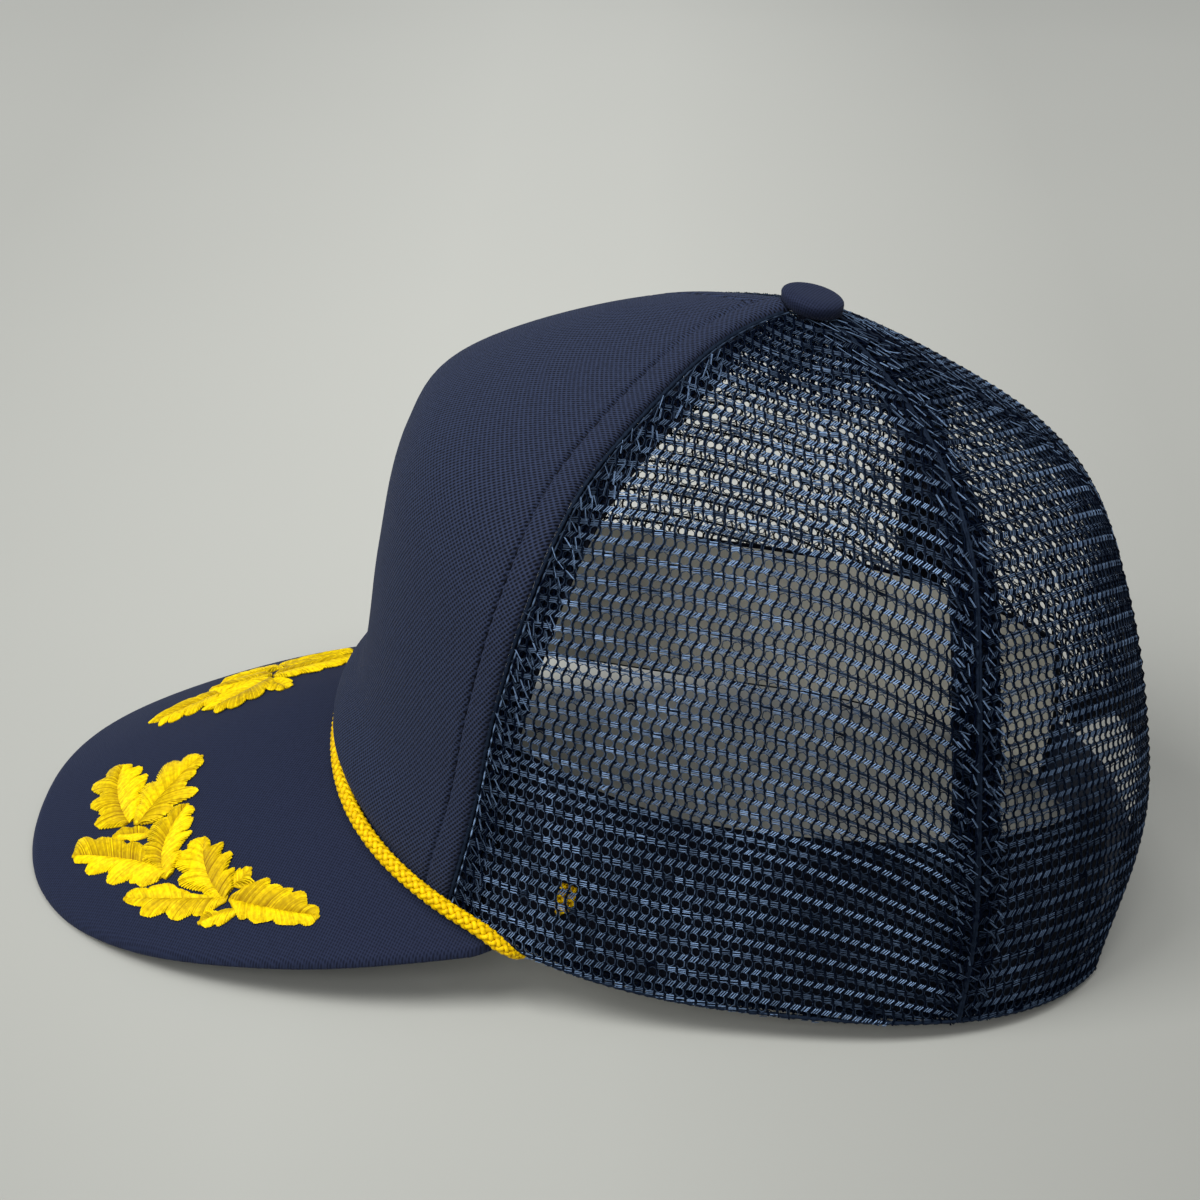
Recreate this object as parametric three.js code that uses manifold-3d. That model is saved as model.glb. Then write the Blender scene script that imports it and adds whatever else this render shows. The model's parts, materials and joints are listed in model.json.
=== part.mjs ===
// A trucker cap: a foam-backed front, net sides and back, and a roped brim with stitched oak leaves.
// Millimetres, +Z up, brim towards -Y, the wearer's left side at +X.
// The cap rests as it would on a table: on the low points of its brim and on the strap at its back.

import * as THREE from 'three';
import { mergeVertices } from 'three/addons/utils/BufferGeometryUtils.js';
import Module from 'manifold-3d';

const wasm = await Module();
wasm.setup();

// Driving dimensions

// The crown is drawn as rings, from the hem up to the button. Each ring is four quarter ovals that meet at
// the front, the sides and the back. Squareness 2 is an ellipse, and more is boxier.
const crownRings = [
  { frontY: -98, frontZ: 32.5, sideX: 81, sideY: 5, sideZ: 7, backY: 105, backZ: 0, squareness: 2.6 },
  { frontY: -93, frontZ: 61, sideX: 82, sideY: 4, sideZ: 35, backY: 110, backZ: 28, squareness: 2.3 },
  { frontY: -90, frontZ: 89, sideX: 81, sideY: 4, sideZ: 64, backY: 106, backZ: 57, squareness: 2.3 },
  { frontY: -85, frontZ: 116, sideX: 77, sideY: 5, sideZ: 93, backY: 97, backZ: 88, squareness: 2.3 },
  { frontY: -73, frontZ: 133, sideX: 65, sideY: 8, sideZ: 119, backY: 83, backZ: 116, squareness: 2.15 },
  { frontY: -34, frontZ: 150, sideX: 40, sideY: 11, sideZ: 141, backY: 55, backZ: 136, squareness: 1.85 },
  { frontY: 11, frontZ: 155.5, sideX: 0, sideY: 11, sideZ: 155.5, backY: 11, backZ: 155.5, squareness: 2 },
];

// Where the seams run, in degrees round from the front, one row for each crown ring.
const seamRows = [
  { front: 49.5, side: 120 },
  { front: 49.5, side: 120 },
  { front: 51, side: 119.5 },
  { front: 53, side: 120 },
  { front: 52.5, side: 122.5 },
  { front: 44, side: 130 },
  { front: 26, side: 143 },
];

// The net bends along a soft ridge down the middle of each side panel.
const sideRidge = { at: 98, halfWidth: 9, height: 1.3, from: 0.42, to: 0.94 };

// The ring table's own zero is the head's middle. The whole cap is moved to centre its box over the origin.
const moveBack = 35.3;

// Gaps between pieces, and how the walls lie about the crown's surface.
// The panels stop just short of the button's stem.
const gap = 0.3;
const seamGap = 0.4;
const tapeGap = 0.45;
const frontProud = 0.4;
const frontDepth = 2.2;
const netWall = 1.2;
const tapeWall = 0.8;
const crownTop = 0.98;
const panelRows = 16;

const seamTape = { frontWidth: 8, sideWidth: 13, from: 0.02, to: 0.9 };
const backTape = { width: 13, fromHeight: 52 };
const arch = { halfWidth: 45, height: 42, tapeWidth: 7, tapeClear: 0.8, tapeAbove: 2 };
const sweatband = { endAngle: 149, bottom: 0.006, top: 0.285, depth: 3.1, wall: 1.5, lean: 2.6 };
const strap = { halfWidth: 53, height: 21, wall: 1.2 };
const button = {
  radius: 7.7, height: 4.6, edge: 0.9, tilt: 9, roundness: 0.6, stemRadius: 3, stemLength: 4, neck: 0.4,
};

// The brim is a curved board. Its middle surface slopes down from the hem and sags to both sides.
const brim = {
  halfWidth: 81, sideY: -60, tipY: -179.5, squareness: 2.55, cornerLength: 7, cornerWidth: 7.6,
  hemY: -98, hemZ: 35, slope: 0.234, sag: 24.5, sagAt: 80, bendAt: 75, frontBend: -11.4, rearBend: -18,
  halfThickness: 1.5, insideHem: 4, endAngle: 60, rootRing: 0.02,
};

const rope = { radius: 2, endAngle: 54, step: 3, sides: 8 };

// How each end of the rope flattens, turns under the hem and lies up behind the net.
// Depth is inwards from the crown, height is above the hem.
const ropeTail = [
  { angle: 57.5, depth: -2.5, height: 4.4, halfWidth: 1.9, halfDepth: 1.9 },
  { angle: 60.2, depth: -2.1, height: 2.6, halfWidth: 1.8, halfDepth: 1.4 },
  { angle: 61.9, depth: -1.7, height: 0.4, halfWidth: 1.8, halfDepth: 0.8 },
  { angle: 62.9, depth: -0.6, height: -2, halfWidth: 1.8, halfDepth: 0.5 },
  { angle: 63.7, depth: 1.9, height: -2.1, halfWidth: 1.9, halfDepth: 0.5 },
  { angle: 64.4, depth: 2.35, height: 1, halfWidth: 2.1, halfDepth: 0.5 },
  { angle: 65, depth: 2.15, height: 8, halfWidth: 2.5, halfDepth: 0.5 },
  { angle: 65.6, depth: 2.25, height: 16, halfWidth: 2.8, halfDepth: 0.5 },
  { angle: 65.8, depth: 2.3, height: 22.5, halfWidth: 2.6, halfDepth: 0.5 },
];

// The leaves stitched on the brim's left side, seen from above.
const leftLeaves = [
  { baseX: 31, baseY: -151, tipX: 3, tipY: -158.5, halfWidth: 6.6, lobes: 4, height: 0.8 },
  { baseX: 34, baseY: -152, tipX: 9.3, tipY: -135.3, halfWidth: 7, lobes: 4, height: 1 },
  { baseX: 50, baseY: -139, tipX: 32, tipY: -164, halfWidth: 6.4, lobes: 4, height: 0.9 },
  { baseX: 54, baseY: -138, tipX: 28.5, tipY: -135, halfWidth: 6, lobes: 3, height: 1.2 },
  { baseX: 61, baseY: -125, tipX: 41, tipY: -129, halfWidth: 7.4, lobes: 3, height: 1.1 },
  { baseX: 62, baseY: -120, tipX: 54, tipY: -147, halfWidth: 5.6, lobes: 4, height: 0.8 },
  { baseX: 60.5, baseY: -122, tipX: 69, tipY: -96.5, halfWidth: 6, lobes: 4, height: 1 },
  { baseX: 60, baseY: -121, tipX: 50.5, tipY: -115.5, halfWidth: 3, lobes: 2, height: 0.7 },
  { baseX: 61, baseY: -121, tipX: 67, tipY: -126, halfWidth: 2.6, lobes: 2, height: 0.7 },
];
// The leaves on the right side lie closer together.
const rightLeaves = [
  { baseX: -29, baseY: -137, tipX: -20.5, tipY: -152, halfWidth: 6.6, lobes: 3, height: 0.8 },
  { baseX: -31, baseY: -124, tipX: -17, tipY: -136.5, halfWidth: 6.6, lobes: 3, height: 1.1 },
  { baseX: -35.5, baseY: -124, tipX: -34, tipY: -140, halfWidth: 5.5, lobes: 3, height: 1 },
  { baseX: -43, baseY: -123, tipX: -43.5, tipY: -138, halfWidth: 5, lobes: 3, height: 0.9 },
  { baseX: -29, baseY: -124, tipX: -20, tipY: -118, halfWidth: 3.2, lobes: 2, height: 0.7 },
  { baseX: -33, baseY: -123, tipX: -36.5, tipY: -102, halfWidth: 6.2, lobes: 4, height: 1 },
  { baseX: -43, baseY: -124, tipX: -48, tipY: -104, halfWidth: 5.8, lobes: 4, height: 0.9 },
];
const leafShape = {
  stations: 12, stem: 0.3, lobeDepth: 0.17, tipRound: 0.55, fullness: 0.8, tip: 0.3, edge: 0.75,
};

// Crown surface

const radians = THREE.MathUtils.degToRad;

// A smooth curve through the rows of a table, at t from 0 at the first row to 1 at the last.
function smoothRow(rows, t) {
  const last = rows.length - 1;
  const start = Math.min(Math.max(Math.floor(t * last), 0), last - 1);
  const f = t * last - start;
  const value = {};
  for (const name of Object.keys(rows[0])) {
    const b = rows[start][name];
    const c = rows[start + 1][name];
    const a = start > 0 ? rows[start - 1][name] : 2 * b - c;
    const d = start + 2 <= last ? rows[start + 2][name] : 2 * c - b;
    const square = 2 * a - 5 * b + 4 * c - d;
    const cube = 3 * b - a - 3 * c + d;
    value[name] = b + ((c - a) * f + square * f ** 2 + cube * f ** 3) / 2;
  }
  return value;
}

// A smooth bump: 1 at the middle and 0 at the half width.
function bump(distance, halfWidth) {
  const x = Math.min(Math.abs(distance) / halfWidth, 1);
  return (1 - x * x) ** 2;
}

// The crown's bare surface, t from the hem to the button, angle in degrees round from the front towards +X.
function crownBare(t, angle) {
  const ring = smoothRow(crownRings, t);
  const c = Math.cos(radians(angle));
  const s = Math.sin(radians(angle));
  const k = (Math.abs(s) ** ring.squareness + Math.abs(c) ** ring.squareness) ** (-1 / ring.squareness);
  const reach = Math.abs(c) * k;
  const endY = c > 0 ? ring.frontY : ring.backY;
  const y = ring.sideY + (endY - ring.sideY) * reach;
  const tilt = (ring.backZ - ring.sideZ) / Math.max(ring.backY - ring.sideY, 0.001);
  const lift = c > 0 ? ring.frontZ - (ring.sideZ + tilt * (ring.frontY - ring.sideY)) : 0;
  return new THREE.Vector3(ring.sideX * s * k, y, ring.sideZ + tilt * (y - ring.sideY) + lift * reach ** 2);
}

function crownNormal(t, angle) {
  const smallStep = 0.004;
  const smallTurn = 1;
  const up = crownBare(t + smallStep, angle).sub(crownBare(t - smallStep, angle));
  const round = crownBare(t, angle + smallTurn).sub(crownBare(t, angle - smallTurn));
  return round.cross(up).normalize();
}

// A point that lies the given depth inside the crown's surface.
function crownPoint(t, angle, depth) {
  const middle = (sideRidge.from + sideRidge.to) / 2;
  const ridge = sideRidge.height * bump(Math.abs(angle) - sideRidge.at, sideRidge.halfWidth)
    * bump(t - middle, middle - sideRidge.from);
  return crownBare(t, angle).addScaledVector(crownNormal(t, angle), ridge - depth);
}

// Millimetres along the ring for each degree.
function perDegree(t, angle) {
  return crownBare(t, angle + 0.5).distanceTo(crownBare(t, angle - 0.5));
}

// The place where a rising function reaches a value, between low and high.
function solve(rising, value, low, high) {
  const halvings = 40;
  let a = low;
  let b = high;
  for (let step = 0; step < halvings; step += 1) {
    const middle = (a + b) / 2;
    if (rising(middle) < value) a = middle;
    else b = middle;
  }
  return (a + b) / 2;
}

// The crown rises steadily from below its hem to its shoulder, so a height there belongs to one ring.
function ringAtHeight(angle, z) {
  const belowHem = -0.2;
  const shoulder = 0.7;
  return solve((t) => crownBare(t, angle).z, z, belowHem, shoulder);
}

// The angle behind the side at which the crown has this x and z.
function angleAtX(x, z) {
  const behindSide = 100;
  const back = 180;
  return solve((angle) => -crownBare(ringAtHeight(angle, z), angle).x, -x, behindSide, back);
}

const seamAngle = (name, t) => smoothRow(seamRows, t)[name];

// Solids

// A mesh of triangles, turned inside out if its faces pointed in.
function closedGeometry(points, triangles) {
  let volume = 0;
  for (const [a, b, c] of triangles) volume += points[a].dot(points[b].clone().cross(points[c]));
  const faces = volume < 0 ? triangles.map(([a, b, c]) => [a, c, b]) : triangles;
  const geometry = new THREE.BufferGeometry();
  geometry.setAttribute('position', new THREE.Float32BufferAttribute(points.flatMap((p) => p.toArray()), 3));
  geometry.setIndex(faces.flat());
  return geometry;
}

// A wall over a grid: place(row, column, side) gives its points, side 0 being its outer face and 1 its inner.
function wall(rows, columns, place) {
  const points = [];
  for (const side of [0, 1]) {
    for (let i = 0; i <= rows; i += 1) {
      for (let j = 0; j <= columns; j += 1) points.push(place(i / rows, j / columns, side));
    }
  }
  const at = (i, j, side) => (side * (rows + 1) + i) * (columns + 1) + j;
  const triangles = [];
  const quad = (a, b, c, d) => triangles.push([a, b, c], [a, c, d]);
  for (let i = 0; i < rows; i += 1) {
    for (let j = 0; j < columns; j += 1) {
      quad(at(i, j, 0), at(i, j + 1, 0), at(i + 1, j + 1, 0), at(i + 1, j, 0));
      quad(at(i, j, 1), at(i + 1, j, 1), at(i + 1, j + 1, 1), at(i, j + 1, 1));
    }
    quad(at(i, 0, 0), at(i + 1, 0, 0), at(i + 1, 0, 1), at(i, 0, 1));
    quad(at(i, columns, 0), at(i, columns, 1), at(i + 1, columns, 1), at(i + 1, columns, 0));
  }
  for (let j = 0; j < columns; j += 1) {
    quad(at(0, j, 0), at(0, j, 1), at(0, j + 1, 1), at(0, j + 1, 0));
    quad(at(rows, j, 0), at(rows, j + 1, 0), at(rows, j + 1, 1), at(rows, j, 1));
  }
  return closedGeometry(points, triangles);
}

// A solid through a row of rings with the same number of points, closed at both ends with a fan.
function ringSolid(rings) {
  const sides = rings[0].length;
  const points = rings.flat();
  const triangles = [];
  for (let i = 0; i + 1 < rings.length; i += 1) {
    for (let j = 0; j < sides; j += 1) {
      const a = i * sides + j;
      const b = i * sides + ((j + 1) % sides);
      triangles.push([a, b, b + sides], [a, b + sides, a + sides]);
    }
  }
  for (const [ring, turned] of [[0, true], [rings.length - 1, false]]) {
    const centre = rings[ring].reduce((sum, p) => sum.add(p), new THREE.Vector3()).divideScalar(sides);
    points.push(centre);
    for (let j = 0; j < sides; j += 1) {
      const a = ring * sides + j;
      const b = ring * sides + ((j + 1) % sides);
      triangles.push(turned ? [b, a, points.length - 1] : [a, b, points.length - 1]);
    }
  }
  return closedGeometry(points, triangles);
}

function toManifold(geometry) {
  const bare = geometry.clone();
  bare.deleteAttribute('normal');
  bare.deleteAttribute('uv');
  const merged = mergeVertices(bare);
  return new wasm.Manifold(new wasm.Mesh({
    numProp: 3,
    vertProperties: new Float32Array(merged.attributes.position.array),
    triVerts: new Uint32Array(merged.index.array),
  }));
}

function fromManifold(solid) {
  const { vertProperties, triVerts } = solid.getMesh();
  const geometry = new THREE.BufferGeometry();
  geometry.setAttribute('position', new THREE.BufferAttribute(vertProperties, 3));
  geometry.setIndex(new THREE.BufferAttribute(triVerts, 1));
  return geometry;
}

// A full block of the crown's foot, grown outwards, that cuts the brim's seat on it.
function crownBlock(outwards) {
  const rows = 5;
  const sides = 72;
  const from = -0.1;
  const to = 0.3;
  const rings = [];
  for (let i = 0; i <= rows; i += 1) {
    const t = from + (to - from) * (i / rows);
    const ring = [];
    for (let j = 0; j < sides; j += 1) ring.push(crownPoint(t, j * (360 / sides) - 180, -outwards));
    rings.push(ring);
  }
  return toManifold(ringSolid(rings));
}

// Pieces

const mirror = (point, side) => point.setX(point.x * side);

function frontPanel() {
  const columns = 20;
  return wall(panelRows, columns, (v, u, side) => {
    const t = crownTop * v;
    const edge = seamAngle('front', t);
    const reach = edge - seamGap / 2 / perDegree(t, edge);
    return crownPoint(t, reach * (2 * u - 1), side ? frontDepth : -frontProud);
  });
}

function sidePanel(sign) {
  const columns = 13;
  return wall(panelRows, columns, (v, u, side) => {
    const t = crownTop * v;
    const start = seamAngle('front', t);
    const end = seamAngle('side', t);
    const a = start + seamGap / 2 / perDegree(t, start);
    const b = end - seamGap / 2 / perDegree(t, end);
    return mirror(crownPoint(t, a + (b - a) * u, side * netWall), sign);
  });
}

// The lower edge of a back panel follows the hem and then the arch over the strap.
function backPanel(sign) {
  const columns = 12;
  const beforeArch = 1 / 3;
  const archFoot = 150;
  const nearBack = 170;
  const archStart = angleAtX(arch.halfWidth, crownBare(0, archFoot).z);
  return wall(panelRows, columns, (v, u, side) => {
    let base = seamAngle('side', 0) + (archStart - seamAngle('side', 0)) * (u / beforeArch);
    let low = 0;
    if (u > beforeArch) {
      const turn = ((u - beforeArch) / (1 - beforeArch)) * (Math.PI / 2);
      const z = arch.height * Math.sin(turn);
      base = angleAtX(arch.halfWidth * Math.cos(turn), Math.max(z, crownBare(0, nearBack).z));
      low = Math.max(ringAtHeight(base, z), 0);
    }
    const t = low + (crownTop - low) * v;
    const share = (180 - base) / (180 - seamAngle('side', 0));
    const angle = 180 - (180 - seamAngle('side', t)) * share;
    const edge = seamGap / 2 / perDegree(t, angle);
    const kept = angle + edge * (1 - 2 * u);
    return mirror(crownPoint(t, kept, side * netWall), sign);
  });
}

// A tape behind a seam. It reaches so many millimetres before and behind the seam's line.
function seamTapeWall(lineAt, before, behind, from, sign) {
  const rows = 15;
  const columns = 2;
  return wall(rows, columns, (v, u, side) => {
    const t = from + (seamTape.to - from) * v;
    const line = lineAt(t);
    const offset = -before + (before + behind) * u;
    const depth = netWall + tapeGap + side * tapeWall;
    return mirror(crownPoint(t, line + offset / perDegree(t, line), depth), sign);
  });
}

function archTape() {
  const columns = 20;
  const lowest = Math.asin((strap.height + arch.tapeAbove) / arch.height);
  return wall(1, columns, (v, u, side) => {
    const turn = lowest + (Math.PI - 2 * lowest) * u;
    const grow = arch.tapeClear + arch.tapeWidth * v;
    const x = (arch.halfWidth + grow) * Math.cos(turn);
    const z = (arch.height + grow) * Math.sin(turn);
    const angle = angleAtX(Math.abs(x), z);
    const depth = netWall + tapeGap + side * tapeWall;
    return mirror(crownPoint(ringAtHeight(angle, z), angle, depth), Math.sign(x) || 1);
  });
}

function sweatbandWall() {
  const columns = 48;
  const rows = 2;
  return wall(rows, columns, (v, u, side) => {
    const t = sweatband.bottom + (sweatband.top - sweatband.bottom) * v;
    const angle = sweatband.endAngle * (2 * u - 1);
    return crownPoint(t, angle, sweatband.depth + sweatband.lean * v + side * sweatband.wall);
  });
}

function strapWall() {
  const columns = 24;
  const rows = 3;
  const lowestRing = 1;
  return wall(rows, columns, (v, u, side) => {
    const z = strap.height * v;
    const x = strap.halfWidth * (2 * u - 1);
    const angle = angleAtX(Math.abs(x), Math.max(z, lowestRing));
    const point = crownPoint(ringAtHeight(angle, z), angle, netWall + tapeGap + side * strap.wall);
    return mirror(point.setZ(z), x < 0 ? -1 : 1);
  });
}

function brimMiddle(x, y) {
  const ahead = y - brim.hemY;
  const bend = (ahead < 0 ? brim.frontBend : brim.rearBend) * (ahead / brim.bendAt) ** 2;
  return brim.hemZ + brim.slope * ahead + bend - brim.sag * (x / brim.sagAt) ** 2;
}

// The brim's outline seen from above, from the right corner at -1 round the tip to the left corner at 1.
function brimOutline(share) {
  const cornerShare = 0.06;
  const way = Math.abs(share);
  const n = brim.squareness;
  if (way > 1 - cornerShare) {
    const turn = ((way - (1 - cornerShare)) / cornerShare) * (Math.PI / 2);
    const x = brim.halfWidth - brim.cornerWidth * (1 - Math.cos(turn));
    return new THREE.Vector2(Math.sign(share) * x, brim.sideY + brim.cornerLength * Math.sin(turn));
  }
  const turn = (way / (1 - cornerShare)) * (Math.PI / 2);
  const k = (Math.sin(turn) ** n + Math.cos(turn) ** n) ** (-1 / n);
  const x = brim.halfWidth * Math.sin(turn) * k;
  return new THREE.Vector2(Math.sign(share) * x, brim.sideY + (brim.tipY - brim.sideY) * Math.cos(turn) * k);
}

function brimBoard() {
  const columns = 48;
  // How far in from the edge each row lies, as a share of the way or in millimetres, and its thickness.
  const rows = [
    { share: 1, inset: 0, thickness: 1 },
    { share: 0.5, inset: 0, thickness: 1 },
    { share: 0, inset: 3, thickness: 1 },
    { share: 0, inset: 1, thickness: 0.86 },
    { share: 0, inset: 0.25, thickness: 0.55 },
    { share: 0, inset: 0, thickness: 0.2 },
  ];
  const slab = wall(rows.length - 1, columns, (v, u, side) => {
    const share = 2 * u - 1;
    const row = rows[Math.round(v * (rows.length - 1))];
    const outer = brimOutline(share);
    const root = crownPoint(brim.rootRing, share * brim.endAngle, brim.insideHem);
    const inner = new THREE.Vector2(root.x, root.y);
    const place = outer.clone().lerp(inner, row.share);
    place.addScaledVector(inner.clone().sub(outer).normalize(), row.inset);
    const half = brim.halfThickness * row.thickness * (side ? -1 : 1);
    return new THREE.Vector3(place.x, place.y, brimMiddle(place.x, place.y) + half);
  });
  return fromManifold(toManifold(slab).subtract(crownBlock(frontProud + gap)));
}

function ropeRun() {
  const clear = frontProud + gap + rope.radius;
  const aboveMiddle = brim.halfThickness + seamGap + rope.radius;
  const stops = [];
  const tail = (sign) => ropeTail.map((row) => {
    const hem = crownBare(0, row.angle).z;
    const t = ringAtHeight(row.angle, hem + row.height);
    return {
      centre: mirror(crownPoint(t, row.angle, row.depth), sign),
      outwards: mirror(crownNormal(t, row.angle), sign),
      halfWidth: row.halfWidth,
      halfDepth: row.halfDepth,
    };
  });
  stops.push(...tail(-1).reverse());
  for (let angle = -rope.endAngle; angle <= rope.endAngle; angle += rope.step) {
    const root = crownPoint(brim.rootRing, angle, -clear);
    const t = ringAtHeight(Math.abs(angle), brimMiddle(root.x, root.y) + aboveMiddle);
    const centre = crownPoint(t, angle, -clear);
    centre.setZ(brimMiddle(centre.x, centre.y) + aboveMiddle);
    stops.push({ centre, outwards: crownNormal(t, angle), halfWidth: rope.radius, halfDepth: rope.radius });
  }
  stops.push(...tail(1));
  const rings = stops.map((stop, i) => {
    const before = stops[Math.max(i - 1, 0)].centre;
    const after = stops[Math.min(i + 1, stops.length - 1)].centre;
    const along = after.clone().sub(before).normalize();
    const across = along.clone().cross(stop.outwards).normalize();
    const outwards = across.clone().cross(along).normalize();
    const ring = [];
    for (let j = 0; j < rope.sides; j += 1) {
      const turn = ((j + 0.5) / rope.sides) * 2 * Math.PI;
      ring.push(stop.centre.clone()
        .addScaledVector(across, stop.halfWidth * Math.cos(turn))
        .addScaledVector(outwards, stop.halfDepth * Math.sin(turn)));
    }
    return ring;
  });
  return ringSolid(rings);
}

// One lobed leaf as a thin plate that lies on the brim.
function leafPlate(leaf) {
  const base = new THREE.Vector2(leaf.baseX, leaf.baseY);
  const tip = new THREE.Vector2(leaf.tipX, leaf.tipY);
  const along = tip.clone().sub(base);
  const across = new THREE.Vector2(-along.y, along.x).normalize();
  return wall(leafShape.stations, 2, (v, u, side) => {
    const full = Math.sin(Math.PI * v ** leafShape.tipRound) ** leafShape.fullness;
    const body = leafShape.stem + (1 - leafShape.stem) * full;
    const lobed = 1 - leafShape.lobeDepth * Math.cos(2 * Math.PI * leaf.lobes * v);
    const half = leaf.halfWidth * body * lobed * (v < 1 ? 1 : leafShape.tip);
    const place = base.clone().addScaledVector(along, v).addScaledVector(across, half * (2 * u - 1));
    const above = side ? 0 : leaf.height * (u === 0.5 ? 1 : leafShape.edge);
    const rise = brim.halfThickness + gap + above;
    return new THREE.Vector3(place.x, place.y, brimMiddle(place.x, place.y) + rise);
  });
}

function leafSpray(leaves) {
  let spray = null;
  for (const leaf of leaves) {
    const plate = toManifold(leafPlate(leaf));
    spray = spray ? spray.add(plate) : plate;
  }
  return fromManifold(spray);
}

// A cloth-covered dome. Its underside follows the crown, and its stem goes down where the panels meet.
function topButton() {
  const sides = 24;
  const domeSteps = 6;
  const foot = new THREE.Vector3(0, crownRings.at(-1).frontY, crownRings.at(-1).frontZ);
  const axis = new THREE.Vector3(0, Math.sin(radians(button.tilt)), Math.cos(radians(button.tilt)));
  const ring = (place) => Array.from({ length: sides }, (_, j) => place(j * (360 / sides) - 180));
  const towards = (angle) => new THREE.Vector3(Math.sin(radians(angle)), -Math.cos(radians(angle)), 0);
  // A point on the crown so far out from the button's foot.
  const onCrown = (angle, radius, above) => {
    const out = (t) => -Math.hypot(crownBare(t, angle).x - foot.x, crownBare(t, angle).y - foot.y);
    const shoulder = 0.7;
    const nearTop = 0.995;
    return crownPoint(solve(out, -radius, shoulder, nearTop), angle, -above);
  };
  const clear = frontProud + gap;
  const onStem = (angle, down) => towards(angle).multiplyScalar(button.stemRadius).add(foot).setZ(foot.z - down);
  const rings = [
    ring((angle) => onStem(angle, button.stemLength)),
    ring((angle) => onStem(angle, button.neck)),
    ring((angle) => onCrown(angle, button.radius * 0.7, clear)),
    ring((angle) => onCrown(angle, button.radius * 0.95, clear)),
  ];
  for (let i = 0; i < domeSteps; i += 1) {
    const turn = (i / domeSteps) * (Math.PI / 2);
    const radius = button.radius * Math.cos(turn) ** button.roundness;
    const height = button.edge + (button.height - button.edge) * Math.sin(turn);
    rings.push(ring((angle) => {
      const flat = towards(angle);
      const inPlane = flat.addScaledVector(axis, -flat.dot(axis)).normalize();
      return inPlane.multiplyScalar(radius).add(foot).addScaledVector(axis, height);
    }));
  }
  return ringSolid(rings);
}

// Finishes

const finishes = {
  foamCloth: { color: 0x1f2a48, roughness: 0.85, metalness: 0 },
  net: { color: 0x1b2c50, roughness: 0.6, metalness: 0 },
  tape: { color: 0x10182e, roughness: 0.9, metalness: 0 },
  bandCloth: { color: 0x131c34, roughness: 0.95, metalness: 0 },
  gold: { color: 0xe9b312, roughness: 0.55, metalness: 0 },
  goldThread: { color: 0xf2d01c, roughness: 0.5, metalness: 0 },
  strap: { color: 0x142136, roughness: 0.45, metalness: 0 },
};

const cap = new THREE.Group();
cap.position.y = moveBack;

function addPiece(name, geometry, finish) {
  geometry.computeVertexNormals();
  const piece = new THREE.Mesh(geometry, new THREE.MeshStandardMaterial(finishes[finish]));
  piece.name = name;
  cap.add(piece);
}

addPiece('front_panel', frontPanel(), 'foamCloth');
addPiece('brim', brimBoard(), 'foamCloth');
addPiece('sweatband', sweatbandWall(), 'bandCloth');
addPiece('rope', ropeRun(), 'gold');
addPiece('top_button', topButton(), 'foamCloth');
addPiece('snap_strap', strapWall(), 'strap');
addPiece('arch_tape', archTape(), 'tape');
addPiece(
  'back_seam_tape',
  seamTapeWall(() => 180, backTape.width / 2, backTape.width / 2, ringAtHeight(180, backTape.fromHeight), 1),
  'tape',
);
const sideHalf = seamTape.sideWidth / 2;
for (const [side, sign] of [['left', 1], ['right', -1]]) {
  addPiece(`side_panel_${side}`, sidePanel(sign), 'net');
  addPiece(`back_panel_${side}`, backPanel(sign), 'net');
  addPiece(
    `front_seam_tape_${side}`,
    seamTapeWall((t) => seamAngle('front', t), -seamGap, seamTape.frontWidth, seamTape.from, sign),
    'tape',
  );
  addPiece(
    `side_seam_tape_${side}`,
    seamTapeWall((t) => seamAngle('side', t), sideHalf, sideHalf, seamTape.from, sign),
    'tape',
  );
  addPiece(`leaf_spray_${side}`, leafSpray(sign > 0 ? leftLeaves : rightLeaves), 'goldThread');
}

export default cap;
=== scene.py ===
"""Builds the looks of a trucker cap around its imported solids.

The crown is worked out in millimetres from the same few rings as the solids, and every piece is laid on it:
the net's yarns, the foam-backed front, the brim, the braided rope, the stitched leaves, the tapes, the
sweatband and the strap. Points are turned to metres in the row frame when a mesh is made.
"""

import json
import logging
import math
from dataclasses import dataclass, field
from enum import Enum
from typing import Callable, Sequence

import bpy
import numpy as np
from mathutils import Matrix, Vector

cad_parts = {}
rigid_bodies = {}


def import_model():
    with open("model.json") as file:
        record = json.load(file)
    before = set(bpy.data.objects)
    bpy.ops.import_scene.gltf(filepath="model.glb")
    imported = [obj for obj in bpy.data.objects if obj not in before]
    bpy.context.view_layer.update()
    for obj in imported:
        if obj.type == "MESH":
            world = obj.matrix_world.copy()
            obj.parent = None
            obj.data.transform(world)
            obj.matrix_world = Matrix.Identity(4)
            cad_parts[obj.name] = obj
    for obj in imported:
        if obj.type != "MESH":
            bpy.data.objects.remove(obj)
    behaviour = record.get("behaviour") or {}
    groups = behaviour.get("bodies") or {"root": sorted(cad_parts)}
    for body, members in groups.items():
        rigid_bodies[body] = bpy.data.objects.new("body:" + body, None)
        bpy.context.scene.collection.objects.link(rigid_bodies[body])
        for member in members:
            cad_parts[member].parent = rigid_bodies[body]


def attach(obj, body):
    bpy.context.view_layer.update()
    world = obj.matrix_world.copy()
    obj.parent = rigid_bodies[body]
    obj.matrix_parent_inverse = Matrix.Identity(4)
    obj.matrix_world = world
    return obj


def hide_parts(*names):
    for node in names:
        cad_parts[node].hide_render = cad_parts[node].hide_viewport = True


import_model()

Array = np.ndarray
Item = bpy.types.Object
Material = bpy.types.Material
Socket = bpy.types.NodeSocket
log = logging.getLogger("trucker_cap")

MM = 0.001
UV_UNIT = 10.0
BODY = "root"


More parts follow.
